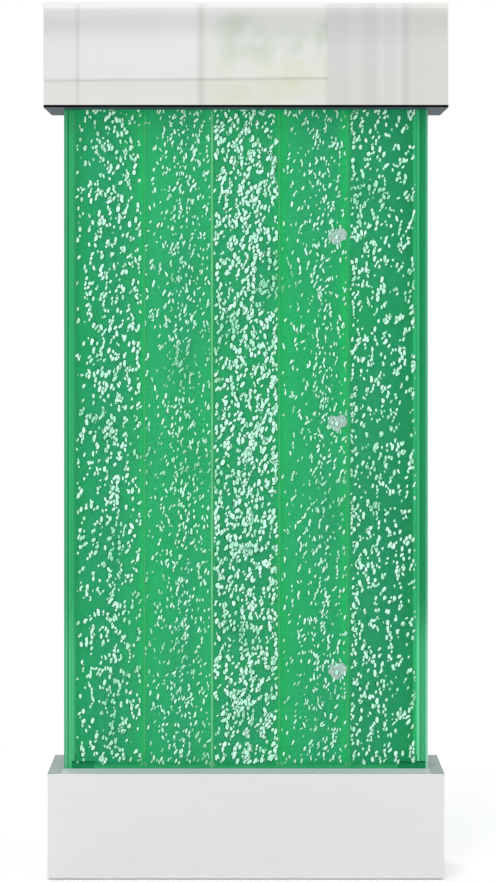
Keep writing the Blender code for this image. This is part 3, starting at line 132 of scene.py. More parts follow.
def grid_faces(rows, columns):
    """Triangles that join a grid of points, row after row, whose last column meets the first.

    Point (r, c) has the number r * columns + c. Each cell between rows r and r + 1 gives
    two triangles.
    """
    r, c = np.meshgrid(np.arange(rows - 1), np.arange(columns), indexing="ij")
    right = (c + 1) % columns
    a, b = r * columns + c, r * columns + right
    d, e = a + columns, b + columns
    cells = np.stack([np.stack([a, b, e], -1), np.stack([a, e, d], -1)], -2)
    return cells.reshape(-1, 3)


def capped(points, rows, columns):
    """Close a ring-shaped grid with one point at the middle of each end.

    The middles of the first and the last row are added as two more points, and each is
    joined to its row by a fan of triangles. Returns the points and the faces.
    """
    ring = np.arange(columns)
    following = (ring + 1) % columns
    start = (rows - 1) * columns
    fans = [np.stack([following, ring, np.full(columns, len(points))], -1),
            np.stack([start + ring, start + following, np.full(columns, len(points) + 1)], -1)]
    middles = [points[:columns].mean(0), points[-columns:].mean(0)]
    return np.concatenate([points, middles]), np.concatenate([grid_faces(rows, columns), *fans])


print("helpers: put, grid_faces, capped")

# %% [markdown]
# ## Finishes
#
# A finish is a Principled shader whose colour, roughness and bump come from noise, read in
# the object's own coordinates, in metres. Stretching the noise makes the fine parallel
# lines of brushed metal, and leaving it round makes the specks of moulded plastic. One
# helper builds the noise, and each finish says only how the real surface differs.
#
# The small helpers come first. Where one takes a value, that is a number, a colour or
# another node's socket.

# %% Helpers for shader nodes
def give(tree, socket, value):
    """Set a socket to a number or a colour, or link another socket to it."""
    if isinstance(value, (int, float)):
        socket.default_value = value
    elif isinstance(value, tuple):
        socket.default_value = (*value, 1)
    else:
        tree.links.new(value, socket)


def tune(tree, **values):
    """Give values to the shader's own sockets. In a socket's name, _ stands for a space."""
    for name, value in values.items():
        give(tree, tree.nodes["Principled BSDF"].inputs[name.replace("_", " ")], value)


def lit(tree, colour, strength, **values):
    """Use one colour both as the surface colour and as its own light."""
    tune(tree, Base_Color=colour, Emission_Color=colour, Emission_Strength=strength, **values)


def source_of(tree, name="Base Color"):
    """The socket that feeds one of the shader's inputs."""
    return tree.nodes["Principled BSDF"].inputs[name].links[0].from_socket


def ramp_of(tree, source, stops):
    """A colour ramp of (position, colour) stops that reads a socket."""
    ramp = tree.nodes.new("ShaderNodeValToRGB")
    while len(ramp.color_ramp.elements) < len(stops):
        ramp.color_ramp.elements.new(1.0)
    for element, (position, colour) in zip(ramp.color_ramp.elements, stops):
        element.position = position
        element.color = (*colour, 1)
    tree.links.new(source, ramp.inputs["Fac"])
    return ramp.outputs["Color"]


def math_node(tree, operation, *values):
    """A Math node of one or two values."""
    node = tree.nodes.new("ShaderNodeMath")
    node.operation = operation
    for socket, value in zip(node.inputs, values):
        give(tree, socket, value)
    return node.outputs[0]


def product(tree, first, *others):
    """The product of several values."""
    for other in others:
        first = math_node(tree, "MULTIPLY", first, other)
    return first


def blend(tree, factor, first, second, kind="MIX"):
    """A colour Mix node of three values."""
    mix = tree.nodes.new("ShaderNodeMix")
    mix.data_type = "RGBA"
    mix.blend_type = kind
    for socket, value in (("Factor", factor), ("A", first), ("B", second)):
        give(tree, mix.inputs[socket], value)
    return mix.outputs["Result"]


def times(tree, first, second):
    """One colour times another."""
    return blend(tree, 1.0, first, second, "MULTIPLY")


def remap(tree, source, low, high, to_low=0.0, to_high=1.0, smooth=False):
    """A Map Range node that reads a socket."""
    node = tree.nodes.new("ShaderNodeMapRange")
    if smooth:
        node.interpolation_type = "SMOOTHSTEP"
    for socket, value in (("Value", source), ("From Min", low), ("From Max", high),
                          ("To Min", to_low), ("To Max", to_high)):
        give(tree, node.inputs[socket], value)
    return node.outputs["Result"]


def parts_of(tree, source):
    """The X, Y and Z sockets of a vector."""
    split = tree.nodes.new("ShaderNodeSeparateXYZ")
    tree.links.new(source, split.inputs[0])
    return split.outputs


def object_place(tree):
    """The object's own coordinates."""
    return tree.nodes.new("ShaderNodeTexCoord").outputs["Object"]


def axes_of(tree):
    """The X, Y and Z sockets of the object's own coordinates."""
    return parts_of(tree, object_place(tree))


def cut_edge(tree, axis="Y"):
    """1 on faces that look along an axis of the object, and 0 on the others."""
    normal = parts_of(tree, tree.nodes.new("ShaderNodeNewGeometry").outputs["Normal"])
    return math_node(tree, "GREATER_THAN", math_node(tree, "ABSOLUTE", normal[axis]), 0.5)


def slant_of(tree):
    """0 where a face looks at the eye, and 1 where it is seen edge-on."""
    weight = tree.nodes.new("ShaderNodeLayerWeight")
    weight.inputs["Blend"].default_value = 0.5
    return weight.outputs["Facing"]


def noise_of(tree, scale, detail, place=None):
    """Noise in the object's own coordinates, or in those of another socket."""
    noise = tree.nodes.new("ShaderNodeTexNoise")
    for socket, value in (("Scale", scale), ("Detail", detail), ("Vector", place or object_place(tree))):
        give(tree, noise.inputs[socket], value)
    return noise.outputs["Fac"]


print("helpers for shader nodes")

# %% A helper for finishes
NOISE_LOW = 0.32
NOISE_HIGH = 0.68
# what lies this close to a face counts as the face itself
FILM = 0.0001


def grained(name, light, dark, scale, rough, bump=0.0, metallic=0.0, detail=4.0, depth=0.0002):
    """A Principled finish that varies between two colours and two roughnesses.

    scale is the noise's frequency along X, Y and Z, in cells a metre. rough is a pair:
    where the noise is low and where it is high. depth is the bump's depth.
    """
    material = bpy.data.materials.new(name)
    material.use_nodes = True
    tree = material.node_tree
    stretch = tree.nodes.new("ShaderNodeMapping")
    stretch.inputs["Scale"].default_value = scale
    tree.links.new(object_place(tree), stretch.inputs["Vector"])
    noise = noise_of(tree, 1.0, detail, stretch.outputs["Vector"])
    share = remap(tree, noise, NOISE_LOW, NOISE_HIGH)
    tune(tree, Base_Color=blend(tree, share, dark, light), Metallic=metallic,
         Roughness=remap(tree, noise, NOISE_LOW, NOISE_HIGH, *rough))
    if bump:
        relief = tree.nodes.new("ShaderNodeBump")
        for socket, value in (("Strength", bump), ("Distance", depth), ("Height", noise)):
            give(tree, relief.inputs[socket], value)
        tune(tree, Normal=relief.outputs["Normal"])
    return material


def dress(material, *names):
    """Give CAD parts a finish."""
    for name in names:
        nodes[name].data.materials.clear()
        nodes[name].data.materials.append(material)


def make(rows):
    """Make each finish of a table, and give it to the parts that end its row."""
    for name, *look, parts in rows:
        finish[name] = grained(name, *look)
        dress(finish[name], *parts)
    print(f"{len(rows)} finishes")


finish = {}

# %% [markdown]
# ### Steel
#
# The header is polished until it mirrors the room, with only a slow waviness left in the
# sheet and a little haze from wiping. The base is satin: its grain runs level round the
# front and the sides. Zinc-plated parts inside the base have the cloudy look of plating.

# %% Steel finishes
# name, light, dark, cells a metre, roughness, bump, metallic, detail, bump depth, parts
make([
    ("polished_steel", (0.915, 0.92, 0.91), (0.885, 0.89, 0.88), (5, 5, 9),
     (0.012, 0.03), 0.05, 1.0, 1.5, 0.0003, ["header_shell"]),
    # painted highlight: the lid is a brighter copy of the header's polished steel, so its edge shows light
    ("polished_lid_painted_highlight", (0.985, 0.985, 0.975), (0.96, 0.965, 0.955), (5, 5, 9),
     (0.03, 0.06), 0.05, 1.0, 1.5, 0.0003, ["header_lid"]),
    ("satin_steel", (0.81, 0.805, 0.805), (0.785, 0.78, 0.78), (4, 4, 900),
     (0.35, 0.40), 0.06, 0.7, 4.0, 0.00003, ["base_wrap"]),
    ("brushed_steel", (0.62, 0.63, 0.62), (0.52, 0.53, 0.52), (5, 5, 800),
     (0.32, 0.42), 0.12, 0.9, 3.0, 0.00003, ["base_back_panel", "service_door"]),
    ("zinc_steel", (0.62, 0.64, 0.66), (0.44, 0.45, 0.46), (60, 60, 60),
     (0.30, 0.48), 0.10, 0.9, 6.0, 0.00005,
     ["floor_tray", "hinge_leaf_panel", "hinge_leaf_door", "header_crossbar_left",
      "header_crossbar_right"])])

# %% [markdown]
# The top plate is brushed along its length. It sits between the returns of the wrap, so a
# dark seam shows round it. A painted highlight lightens its front and back edges. Past the
# ends of the tank it lies in the tank's shadow, painted into its colour as shade.

# %% The top plate's finish
SEAM_SIDE = 0.0018
SEAM_FRONT = 0.0045
SHADE_FROM = -0.003
SHADE_TO = 0.006


def plate_finish():
    """Brushed along X and a little mottled, with a dark seam round it and a painted highlight."""
    material = grained("brushed_plate", (0.71, 0.75, 0.79), (0.60, 0.645, 0.69), (30, 140, 300),
                       (0.55, 0.65), bump=0.12, metallic=0.1, detail=5.0, depth=0.00003)
    tree = material.node_tree
    beside, ahead = (math_node(tree, "ABSOLUTE", axis) for axis in axes_of(tree)[:2])
    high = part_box("base_top_plate")[1]
    tank_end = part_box("tank_right")[1].x
    seam = math_node(tree, "MAXIMUM", math_node(tree, "GREATER_THAN", beside, high.x - SEAM_SIDE),
                     math_node(tree, "GREATER_THAN", ahead, high.y - SEAM_FRONT))
    # painted highlight: the plate's front and back edges are lightened to near white
    edge = math_node(tree, "GREATER_THAN", ahead, high.y - FILM)
    grain = source_of(tree)
    # painted shade: past the tank's ends the grain is darkened as the tank's shadow
    outer = remap(tree, beside, tank_end + SHADE_FROM, tank_end + SHADE_TO, smooth=True)
    shaded = blend(tree, outer, grain, times(tree, grain, (0.62, 0.64, 0.60)))
    lined = blend(tree, seam, shaded, (0.26, 0.29, 0.30))
    tune(tree, Base_Color=blend(tree, edge, lined, (0.96, 0.96, 0.96)), Specular_IOR_Level=0.12)
    return material


dress(plate_finish(), "base_top_plate")
print("top plate dressed")

# %% [markdown]
# ### Paint, rubber, plastic, brass and aluminium
#
# The cradle's powder coat has a fine orange-peel skin, and the soffit is a black board whose
# underside has a soft sheen painted into its colour as blue-grey. Moulded plastic has a fine
# even grain, and rubber is nearly matt. The manifold and the drain valve are turned brass, a
# little dull where hands touch it. The LED channel is drawn aluminium, with fine lines along
# its length.

# %% Paint, rubber, plastic, brass and aluminium finishes
make([
    ("powder_coat", (0.035, 0.036, 0.038), (0.024, 0.025, 0.026), (700, 700, 700),
     (0.42, 0.58), 0.25, 0.0, 2.0, 0.0002, ["cradle_frame"]),
    ("rubber", (0.030, 0.030, 0.031), (0.018, 0.018, 0.018), (500, 500, 500),
     (0.70, 0.88), 0.30, 0.0, 4.0, 0.0002, ["cradle_pad"]),
    ("black_plastic", (0.040, 0.040, 0.042), (0.028, 0.028, 0.029), (1200, 1200, 1200),
     (0.40, 0.55), 0.20, 0.0, 2.0, 0.0001, ["power_inlet", *(f"air_knob_{k}" for k in range(1, 6))]),
    ("grey_plastic", (0.33, 0.34, 0.35), (0.28, 0.29, 0.30), (1200, 1200, 1200),
     (0.42, 0.56), 0.20, 0.0, 2.0, 0.0001, ["led_driver"]),
    ("blue_plastic", (0.035, 0.14, 0.46), (0.026, 0.11, 0.38), (900, 900, 900),
     (0.30, 0.42), 0.12, 0.0, 2.0, 0.0001, []),
    ("white_plastic", (0.79, 0.79, 0.78), (0.73, 0.73, 0.72), (900, 900, 900),
     (0.36, 0.48), 0.12, 0.0, 2.0, 0.0001, ["door_magnet", "power_rocker"]),
    ("cable_jacket", (0.034, 0.034, 0.035), (0.022, 0.022, 0.023), (300, 300, 300),
     (0.45, 0.62), 0.15, 0.0, 2.0, 0.0001, ["led_lead", "mains_lead"]),
    ("brass", (0.66, 0.47, 0.19), (0.52, 0.35, 0.12), (70, 70, 300),
     (0.24, 0.40), 0.08, 1.0, 4.0, 0.00005, []),
    ("aluminium", (0.70, 0.71, 0.72), (0.58, 0.59, 0.60), (4, 700, 700),
     (0.32, 0.44), 0.10, 1.0, 4.0, 0.00003, ["led_channel"])])


def soffit_finish():
    """A black board with a painted blue-grey sheen on its underside, and a black edge."""
    # painted sheen: the underside of the black board is coloured blue-grey
    material = grained("black_board", (0.068, 0.100, 0.126), (0.046, 0.070, 0.092), (260, 260, 260),
                       (0.40, 0.52), bump=0.10, depth=0.0001)
    tree = material.node_tree
    edge = math_node(tree, "GREATER_THAN", axes_of(tree)["Z"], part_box("header_soffit")[0].z + FILM)
    tune(tree, Base_Color=blend(tree, edge, source_of(tree), (0.003, 0.003, 0.003)),
         Specular_IOR_Level=0.06)
    return material


dress(soffit_finish(), "header_soffit")
print("soffit dressed")

# %% [markdown]
# ## Copies of the hard parts
#
# Two kinds of hard part need a copy that stands for them. Round parts have flat sides in
# the frame: the copy's loose corners are merged, and its shading is smoothed wherever two
# faces meet at less than a set angle. Sheets of acrylic that are glued face to face share
# one plane, where a renderer can't tell which comes first: the copy is drawn in by a
# fifth of a millimetre.

# %% A helper for copies
SMOOTH_BELOW = math.radians(38)
MERGE_WITHIN = 0.00001
TUCK = 0.0002


def skin(name, look, tuck=0.0):
    """A merged, smooth-shaded copy of a CAD part, which stands for it.

    Each point moves towards the middle of the part's depth: y - tuck * sign(y - middle).
    """
    mesh = nodes[name].data.copy()
    piece = bpy.data.objects.new(f"{name}_skin", mesh)
    bpy.context.scene.collection.objects.link(piece)
    work = bmesh.new()
    work.from_mesh(mesh)
    bmesh.ops.remove_doubles(work, verts=work.verts, dist=MERGE_WITHIN)
    work.to_mesh(mesh)
    work.free()
    points = np.empty(len(mesh.vertices) * 3, np.float32)
    mesh.vertices.foreach_get("co", points)
    points = points.reshape(-1, 3)
    middle = (points[:, 1].min() + points[:, 1].max()) / 2
    points[:, 1] -= tuck * np.sign(points[:, 1] - middle)
    mesh.vertices.foreach_set("co", points.ravel())
    mesh.shade_smooth()
    mesh.set_sharp_from_angle(angle=SMOOTH_BELOW)
    mesh.materials.clear()
    mesh.materials.append(look)
    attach(piece, nodes[name]["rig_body"])
    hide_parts(name)


print("helper: skin")

# %% [markdown]
# ### Acrylic that carries green light
#
# Clear acrylic shows almost nothing of itself face-on. It shines at its edges, where the
# light that it carries gets out, so the end walls with their corner bars and the dividers
# glow, and the front and back walls hardly show. The walls are more solid where the eye
# meets them at a slant, which Layer Weight gives. Fresnel would turn the far side of each
# sheet into a mirror past 42 degrees.
#
# The shader has an alpha below one and some light of its own. A refracting glass shader
# would be truer to one sheet, but it is slow and noisy with fourteen sheets in a row.

# %% Greens as they show
GLOW = 0.60
GAIN = 1.45
VEIL = 0.012
ACRYLIC_IOR = 1.49


def shows(red, green, blue):
    """The linear colour that shows as these 8-bit values in the studio's light.

    An 8-bit share s is ((s + 0.055) / 1.055)^2.4 in linear light. A lit and glowing surface
    shows GAIN times its colour, plus a thin veil of reflected white.
    """
    linear = ((np.array([red, green, blue]) / 255 + 0.055) / 1.055) ** 2.4
    return tuple(float(part) for part in np.clip((linear - VEIL) / GAIN, 0.001, 1))


def tones_across(tree, half, rows):
    """A ramp along X from -half to half. A row is a place in metres and an 8-bit colour."""
    stops = [(0.5 + x / (2 * half), shows(*tone)) for x, *tone in rows]
    return ramp_of(tree, remap(tree, axes_of(tree)["X"], -half, half), stops)


print("pure green 40, 180, 100 is", [round(part, 3) for part in shows(40, 180, 100)])

# %% Acrylic finishes
def clear_sheet(name, colour, alpha, glow, edge_alpha=0.75, rough=(0.03, 0.07)):
    """Acrylic of one colour: alpha face-on, edge_alpha at a slant, and glow of its own."""
    material = grained(name, colour, tuple(0.8 * c for c in colour), (8, 8, 3), rough, detail=2.0)
    tree = material.node_tree
    tune(tree, IOR=ACRYLIC_IOR, Emission_Color=colour, Emission_Strength=glow,
         Alpha=remap(tree, slant_of(tree), 0.45, 1.0, alpha, edge_alpha))
    return material


def wall_finish():
    """Clear acrylic whose two ends, cut across the sheet, glow as every cut edge does."""
    material = clear_sheet("clear_acrylic", (0.06, 0.42, 0.20), 0.07, 0.08)
    tree = material.node_tree
    ends = cut_edge(tree, "X")
    tune(tree, Alpha=math_node(tree, "MAXIMUM", source_of(tree, "Alpha"), product(tree, ends, 0.9)),
         Emission_Strength=remap(tree, ends, 0.0, 1.0, 0.08, 0.40))
    return material


frosted = clear_sheet("frosted_acrylic", (0.026, 0.34, 0.13), 0.90, 0.45, edge_alpha=0.95,
                      rough=(0.35, 0.50))
dress(wall_finish(), "tank_front", "tank_back", "tank_bottom", "top_brace")
dress(frosted, "led_diffuser")
for k in range(1, 6):
    skin(f"air_box_{k}", frosted, TUCK)
print("2 acrylic finishes")

# %% [markdown]
# A divider is seen along its length, so the eye looks through 88 mm of acrylic and sees
# only the light that its edge lets out. The second from the left is the palest.

# %% The dividers' finish
DIVIDER_TONES = [(46, 178, 104), (112, 206, 142), (42, 176, 98), (44, 174, 104)]

dividers = [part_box(f"divider_{k}") for k in range(1, 5)]
divider_x = [(low.x + high.x) / 2 for low, high in dividers]


def divider_finish():
    """Green by the place across the tank, with each divider's own tone at its own place."""
    material = grained("divider_acrylic", (0.04, 0.36, 0.14), (0.02, 0.26, 0.10), (90, 90, 9),
                       (0.05, 0.12), detail=2.0)
    tree = material.node_tree
    tone = tones_across(tree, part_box("tank_front")[1].x,
                        [(x, *tone) for x, tone in zip(divider_x, DIVIDER_TONES)])
    noise = remap(tree, tree.nodes["Noise Texture"].outputs["Fac"], 0.35, 0.65, 0.0, 0.4)
    lit(tree, blend(tree, noise, tone, (0.70, 0.85, 0.75), "MULTIPLY"), GLOW, IOR=ACRYLIC_IOR,
        Alpha=remap(tree, cut_edge(tree), 0.0, 1.0, 0.35, 1.0), Specular_IOR_Level=0.2)
    return material


divider_sheet = divider_finish()
for k in range(1, 5):
    skin(f"divider_{k}", divider_sheet, TUCK)
print("4 dividers dressed")

# %% [markdown]
# The end walls and their square corner bars are cut from one piece here, so one finish has
# to tell them apart. It reads how far out a point lies: past the glue joint it is wall,
# inside it is bar, and a thin dark line marks the joint itself. Pale upright streaks run
# up the wall where the cut edge catches the light. The right side is the darker one, and
# both are paler towards the base. Next to the sumps the bars' feet are dark.

# %% The end walls' finish
# how far out, and the colour that shows there
LEFT_BANDS = [(0.00, 40, 155, 98), (0.12, 52, 170, 108), (0.20, 66, 184, 124), (0.30, 50, 170, 106),
              (0.47, 70, 190, 124), (0.56, 54, 174, 110), (0.60, 6, 112, 64), (0.65, 6, 112, 64),
              (0.70, 52, 164, 106), (0.79, 88, 192, 142), (0.87, 78, 182, 132), (0.93, 92, 184, 142),
              (1.00, 60, 160, 116)]
RIGHT_BANDS = [(0.00, 64, 190, 126), (0.10, 68, 192, 130), (0.20, 54, 176, 114), (0.29, 4, 128, 72),
               (0.39, 6, 134, 78), (0.48, 30, 158, 102), (0.58, 26, 156, 98), (0.67, 10, 134, 84),
               (0.78, 48, 158, 110), (0.87, 98, 186, 148), (0.96, 124, 194, 160), (1.00, 90, 166, 130)]
PALE_GAIN = (2.6, 1.62, 2.0)
PALE_LIFT = (0.035, 0.0, 0.018)
PALE_FROM = 0.60
PALE_TO = 0.44
BAR_FOOT = 0.0140
FOOT_LINE = 0.0040
WATER_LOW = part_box("air_box_1")[1].z


def with_foot(tree, colour, within, high, tone, line_tone):
    """Darken what lies less than high above the air boxes, with a darker line at its top."""
    above = math_node(tree, "SUBTRACT", axes_of(tree)["Z"], WATER_LOW)
    foot = product(tree, within, math_node(tree, "LESS_THAN", above, high))
    line = math_node(tree, "GREATER_THAN", above, high - FOOT_LINE)
    return blend(tree, foot, colour, blend(tree, line, shows(*tone), shows(*line_tone)))


def end_wall_finish(name, bands, paleness, foot_share):
    """Bands of green by distance from the middle, with thin streaks along the height.

    The foot is the part of the bands from 0 to foot_share that lies below the sump's top.
    """
    low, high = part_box("tank_right")
    material = grained(name, (0.05, 0.45, 0.19), (0.03, 0.32, 0.13), (500, 60, 1.2), (0.05, 0.16),
                       detail=2.0)
    tree = material.node_tree
    axes = axes_of(tree)
    noise = tree.nodes["Noise Texture"].outputs["Fac"]
    out = remap(tree, math_node(tree, "ABSOLUTE", axes["X"]), low.x, high.x)
    share = math_node(tree, "ADD", out, remap(tree, noise, 0.3, 0.7, -0.02, 0.02))
    tone = ramp_of(tree, share, [(at, shows(*band)) for at, *band in bands])
    shaded = blend(tree, remap(tree, noise, 0.35, 0.65), tone, (0.80, 0.90, 0.85), "MULTIPLY")
    lifted = blend(tree, 1.0, times(tree, shaded, PALE_GAIN), PALE_LIFT, "ADD")
    pale = remap(tree, axes["Z"], PALE_FROM, PALE_TO, 0.0, paleness, True)
    within = math_node(tree, "LESS_THAN", share, foot_share)
    colour = with_foot(tree, blend(tree, pale, shaded, lifted), within, BAR_FOOT, (26, 140, 88),
                       (0, 96, 52))
    lit(tree, colour, GLOW, IOR=ACRYLIC_IOR, Specular_IOR_Level=0.1,
        Alpha=remap(tree, cut_edge(tree), 0.0, 1.0, 0.40, 1.0))
    return material


skin("tank_left", end_wall_finish("left_wall_acrylic", LEFT_BANDS, 0.45, 0.3), TUCK)
skin("tank_right", end_wall_finish("right_wall_acrylic", RIGHT_BANDS, 0.95, 0.8), TUCK)
print("end walls dressed")

# %% [markdown]
# ## The lit water
#
# Water full of fine bubbles scatters the LEDs' light until it glows from within, and no
# one can see through it to the back. A real volume shader gives that but takes minutes.
# Here each channel holds a soft-edged core of glowing haze in the middle of its depth, and
# the bubbles rise in the clear water before and behind it.

# %% Sizes of the water
AIR_ABOVE = 0.004
WATER_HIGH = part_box("top_brace")[0].z - AIR_ABOVE
WALL_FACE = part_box("tank_back")[0].y
CORE_HALF = 0.012
SUMP_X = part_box("air_box_5")[1].x
BAR_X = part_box("tank_right")[0].x
ROOM = 0.0005
SUMP_LAP = 0.001
SUMP_RISE = 0.0004

lefts = [-BAR_X, *(high.x for low, high in dividers)]
rights = [*(low.x for low, high in dividers), BAR_X]
channels = list(zip(lefts, rights))
print("channels:", ", ".join(f"{1000 * (b - a):.0f} mm" for a, b in channels))

# %% [markdown]
# The haze is greenest beside the dividers, calmer in the middle of each channel and darkest
# at the right, with slow patches over it. The two sumps beside the outer air boxes have no
# LEDs under them, so the water's foot is dark there, under a thin darker line.

# %% The haze's finish
HAZE_GLOW = 0.88
SUMP_FOOT = 0.0085


def haze_finish():
    """Green that glows: a ramp across the tank, times slow patches and fine mottling."""
    material = grained("lit_haze", (0.020, 0.36, 0.115), (0.010, 0.24, 0.080), (5, 5, 2.2),
                       (0.30, 0.45), detail=2.5)
    tree = material.node_tree
    first, second, third, fourth = divider_x
    calm, pure, even = (50, 160, 106), (44, 180, 104), (51, 171, 109)
    across = tones_across(tree, BAR_X, [
        (-BAR_X, 41, 157, 101), (first - 0.06, 46, 153, 104), (first - 0.042, 48, 161, 105),
        (first - 0.012, 50, 166, 105), (first - 0.006, *pure), (first + 0.003, *pure),
        (first + 0.007, *even), (second - 0.05, *calm), (second - 0.006, *even),
        (second + 0.006, *calm), (third - 0.026, *calm), (third - 0.012, 50, 166, 105),
        (third - 0.001, *pure), (third + 0.009, *pure), (third + 0.014, 50, 173, 108),
        (third + 0.035, 49, 167, 107), (fourth - 0.05, *calm), (fourth - 0.020, 47, 165, 106),
        (fourth - 0.011, *pure), (fourth + 0.001, *pure), (fourth + 0.006, 48, 154, 103),
        (fourth + 0.075, 41, 147, 99), (BAR_X - 0.030, 34, 142, 94), (BAR_X - 0.0072, 20, 138, 82),
        (BAR_X - 0.0052, 60, 186, 122)])
    patches = ramp_of(tree, tree.nodes["Noise Texture"].outputs["Fac"], [
        (0.32, (0.76, 0.90, 0.92)), (0.50, (0.86, 1.0, 1.0)), (0.68, (0.62, 1.04, 0.86))])
    fine = remap(tree, noise_of(tree, 150, 3), 0.60, 0.40)
    mottled = blend(tree, fine, times(tree, across, patches), (0.78, 0.88, 0.88), "MULTIPLY")
    out = math_node(tree, "GREATER_THAN", math_node(tree, "ABSOLUTE", axes_of(tree)["X"]), SUMP_X - SUMP_LAP)
    lit(tree, with_foot(tree, mottled, out, SUMP_FOOT, (22, 130, 80), (2, 100, 54)), HAZE_GLOW,
        Specular_IOR_Level=0.15)
    return material


haze = haze_finish()
print("haze finish made")

# %% [markdown]
# The core is a rounded rectangle carried up the channel. Its faces swell and dip by a
# millimetre in slow waves, so that its sheen isn't flat like paint.

# %% The haze in each channel
CORE_ROWS = 180
CORE_AROUND = 64
CORE_CORNER = 0.006
CORE_WAVE = 0.0006


def core_points(left, right, low, high):
    """A rounded rectangle carried up the channel.

    The outline is a superellipse of power 24: x = a * sign(cos t) * |cos t|^(1/12) and the
    same for y with sin t. Each end shrinks by a quarter circle, and the two long faces
    shift by two slow sine waves that cross each other.
    """
    t = np.linspace(0, 2 * np.pi, CORE_AROUND, endpoint=False)
    across, deep = (np.sign(part) * np.abs(part) ** (1 / 12) for part in (np.cos(t), np.sin(t)))
    z = np.linspace(low, high, CORE_ROWS)[:, None]
    end = np.minimum(z - low, high - z) / CORE_CORNER
    inset = CORE_CORNER * (1 - np.sqrt(1 - (1 - np.clip(end, 0, 1)) ** 2))
    x = (left + right) / 2 + ((right - left) / 2 - inset) * across
    wave = np.sin(37 * z + 30 * x) + np.sin(19 * z - 55 * x + 1.3)
    y = (CORE_HALF - inset + CORE_WAVE * wave * (end > 1)) * deep
    points = np.stack([x, y, np.broadcast_to(z, x.shape)], -1).reshape(-1, 3)
    return points, CORE_ROWS, CORE_AROUND


for number, (left, right) in enumerate(channels, 1):
    core = core_points(left + ROOM, right - ROOM, WATER_LOW + ROOM, WATER_HIGH)
    put(f"lit_water_{number}", *capped(*core), haze)
sump_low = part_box("tank_bottom")[1].z + ROOM
for name, left, right in (("left", -BAR_X, -SUMP_X), ("right", SUMP_X, BAR_X)):
    core = core_points(left + ROOM, right - ROOM, sump_low, WATER_LOW + SUMP_RISE)
    put(f"sump_water_{name}", *capped(*core), haze)
print(f"5 cores of lit water from {WATER_LOW:.3f} to {WATER_HIGH:.3f} m, and 2 sumps")

# %% [markdown]
# ## The bubbles
#
# Thousands of small air bubbles rise through each channel. They are a little taller than
# wide and lean as they swerve, many travel in clumps, and the middle channel gets the most
# air. A rising bubble lit from below shows a white middle and a dark rim, because its rim
# bends the light away.
#
# Each bubble is one small sphere of 36 triangles, and all the bubbles of a channel are one
# mesh. The places come from a seeded generator, so every run gives the same ones. Particles
# or instances would be lighter, but the exported model needs real meshes.

# %% The bubbles' finish
BUBBLE_GLOW = 0.58


def bubble_finish():
    """White at the middle and dark green at the rim. Deep and drifting ones are greener."""
    material = grained("bubble", (0.67, 0.88, 0.78), (0.38, 0.77, 0.59), (150, 150, 150),
                       (0.10, 0.20), detail=1.0)
    tree = material.node_tree
    depth = math_node(tree, "ABSOLUTE", axes_of(tree)["Y"])
    faint = remap(tree, noise_of(tree, 7, 1), 0.57, 0.66, 0.0, 0.55)
    veil = math_node(tree, "MAXIMUM", remap(tree, depth, CORE_HALF, 0.025, 0.66, 0.0), faint)
    deep = blend(tree, veil, source_of(tree), (0.05, 0.46, 0.20))
    rim = remap(tree, slant_of(tree), 0.24, 0.38)
    lit(tree, blend(tree, rim, deep, shows(4, 106, 62)), BUBBLE_GLOW, Specular_IOR_Level=0.2)
    return material


bubble = bubble_finish()
print("bubble finish made")

# %% The shape of one bubble
BUBBLE_RINGS = 3
BUBBLE_SIDES = 6


def directions(u, v):
    """Points of the unit sphere at the angle u from the top and v around it."""
    return np.stack(np.broadcast_arrays(np.sin(u) * np.cos(v), np.sin(u) * np.sin(v), np.cos(u)), -1)


def unit_sphere():
    """Points and triangles of a sphere of radius 1: rings between two poles."""
    u = np.linspace(0, np.pi, BUBBLE_RINGS + 2)[1:-1, None]
    ring = directions(u, np.linspace(0, 2 * np.pi, BUBBLE_SIDES, endpoint=False)).reshape(-1, 3)
    top, bottom = len(ring), len(ring) + 1
    side = np.arange(BUBBLE_SIDES)
    following = (side + 1) % BUBBLE_SIDES
    last = (BUBBLE_RINGS - 1) * BUBBLE_SIDES
    fans = [np.stack([side, following, np.full_like(side, top)], -1),
            np.stack([last + following, last + side, np.full_like(side, bottom)], -1)]
    faces = np.concatenate([grid_faces(BUBBLE_RINGS, BUBBLE_SIDES)[:, ::-1], *fans])
    return np.concatenate([ring, [[0, 0, 1], [0, 0, -1]]]), faces


def put_balls(name, points):
    """Many spheres as one piece. Ball k's faces are the sphere's, plus k times its points."""
    offsets = np.arange(len(points))[:, None, None] * len(sphere_points)
    put(name, points.reshape(-1, 3), (sphere_faces + offsets).reshape(-1, 3), bubble)


sphere_points, sphere_faces = unit_sphere()
print(f"one bubble: {len(sphere_faces)} triangles")

# %% [markdown]
# A channel is described by how many bubbles show on one side, how many hang together, how
# wide and tall they are, how much they crowd towards the middle and how far the stream
# leans to one side. Rising bubbles catch each other and travel in short strings that bend.
# Each string starts at a place of its own, and every later bubble takes a short step from
# the last one, in a direction that wanders.
#
# Plain random places leave bare holes, so the strings start at places that step by two
# irrational shares of the channel, which never bunch. No bubble is a perfect ball: each
# point of the sphere moves in or out a little.

# %% The bubbles in each channel
rng = np.random.default_rng(20)
WALL_ROOM = 0.0006
LEAN = 0.22
LEAN_SPREAD = 0.30
WAY_SPREAD = 0.45
WANDER = 0.50
SPACING = 1.60
SCATTER_ACROSS = 0.055
SCATTER_UP = 0.006
SIZE_SPREAD = 0.33
SMALLEST = 0.45
LARGEST = 1.55
DENTS = 0.15
DENT_LIMIT = 0.30
FLATTEN = 0.8
FORWARD = 1.6
TALLNESS = (0.85, 1.2)
ABOVE_FLOOR = 0.007
BELOW_TOP = 0.01
SHEET_ROOM = 0.001
STEP_ACROSS = 0.7548776662
STEP_UP = 0.5698402910
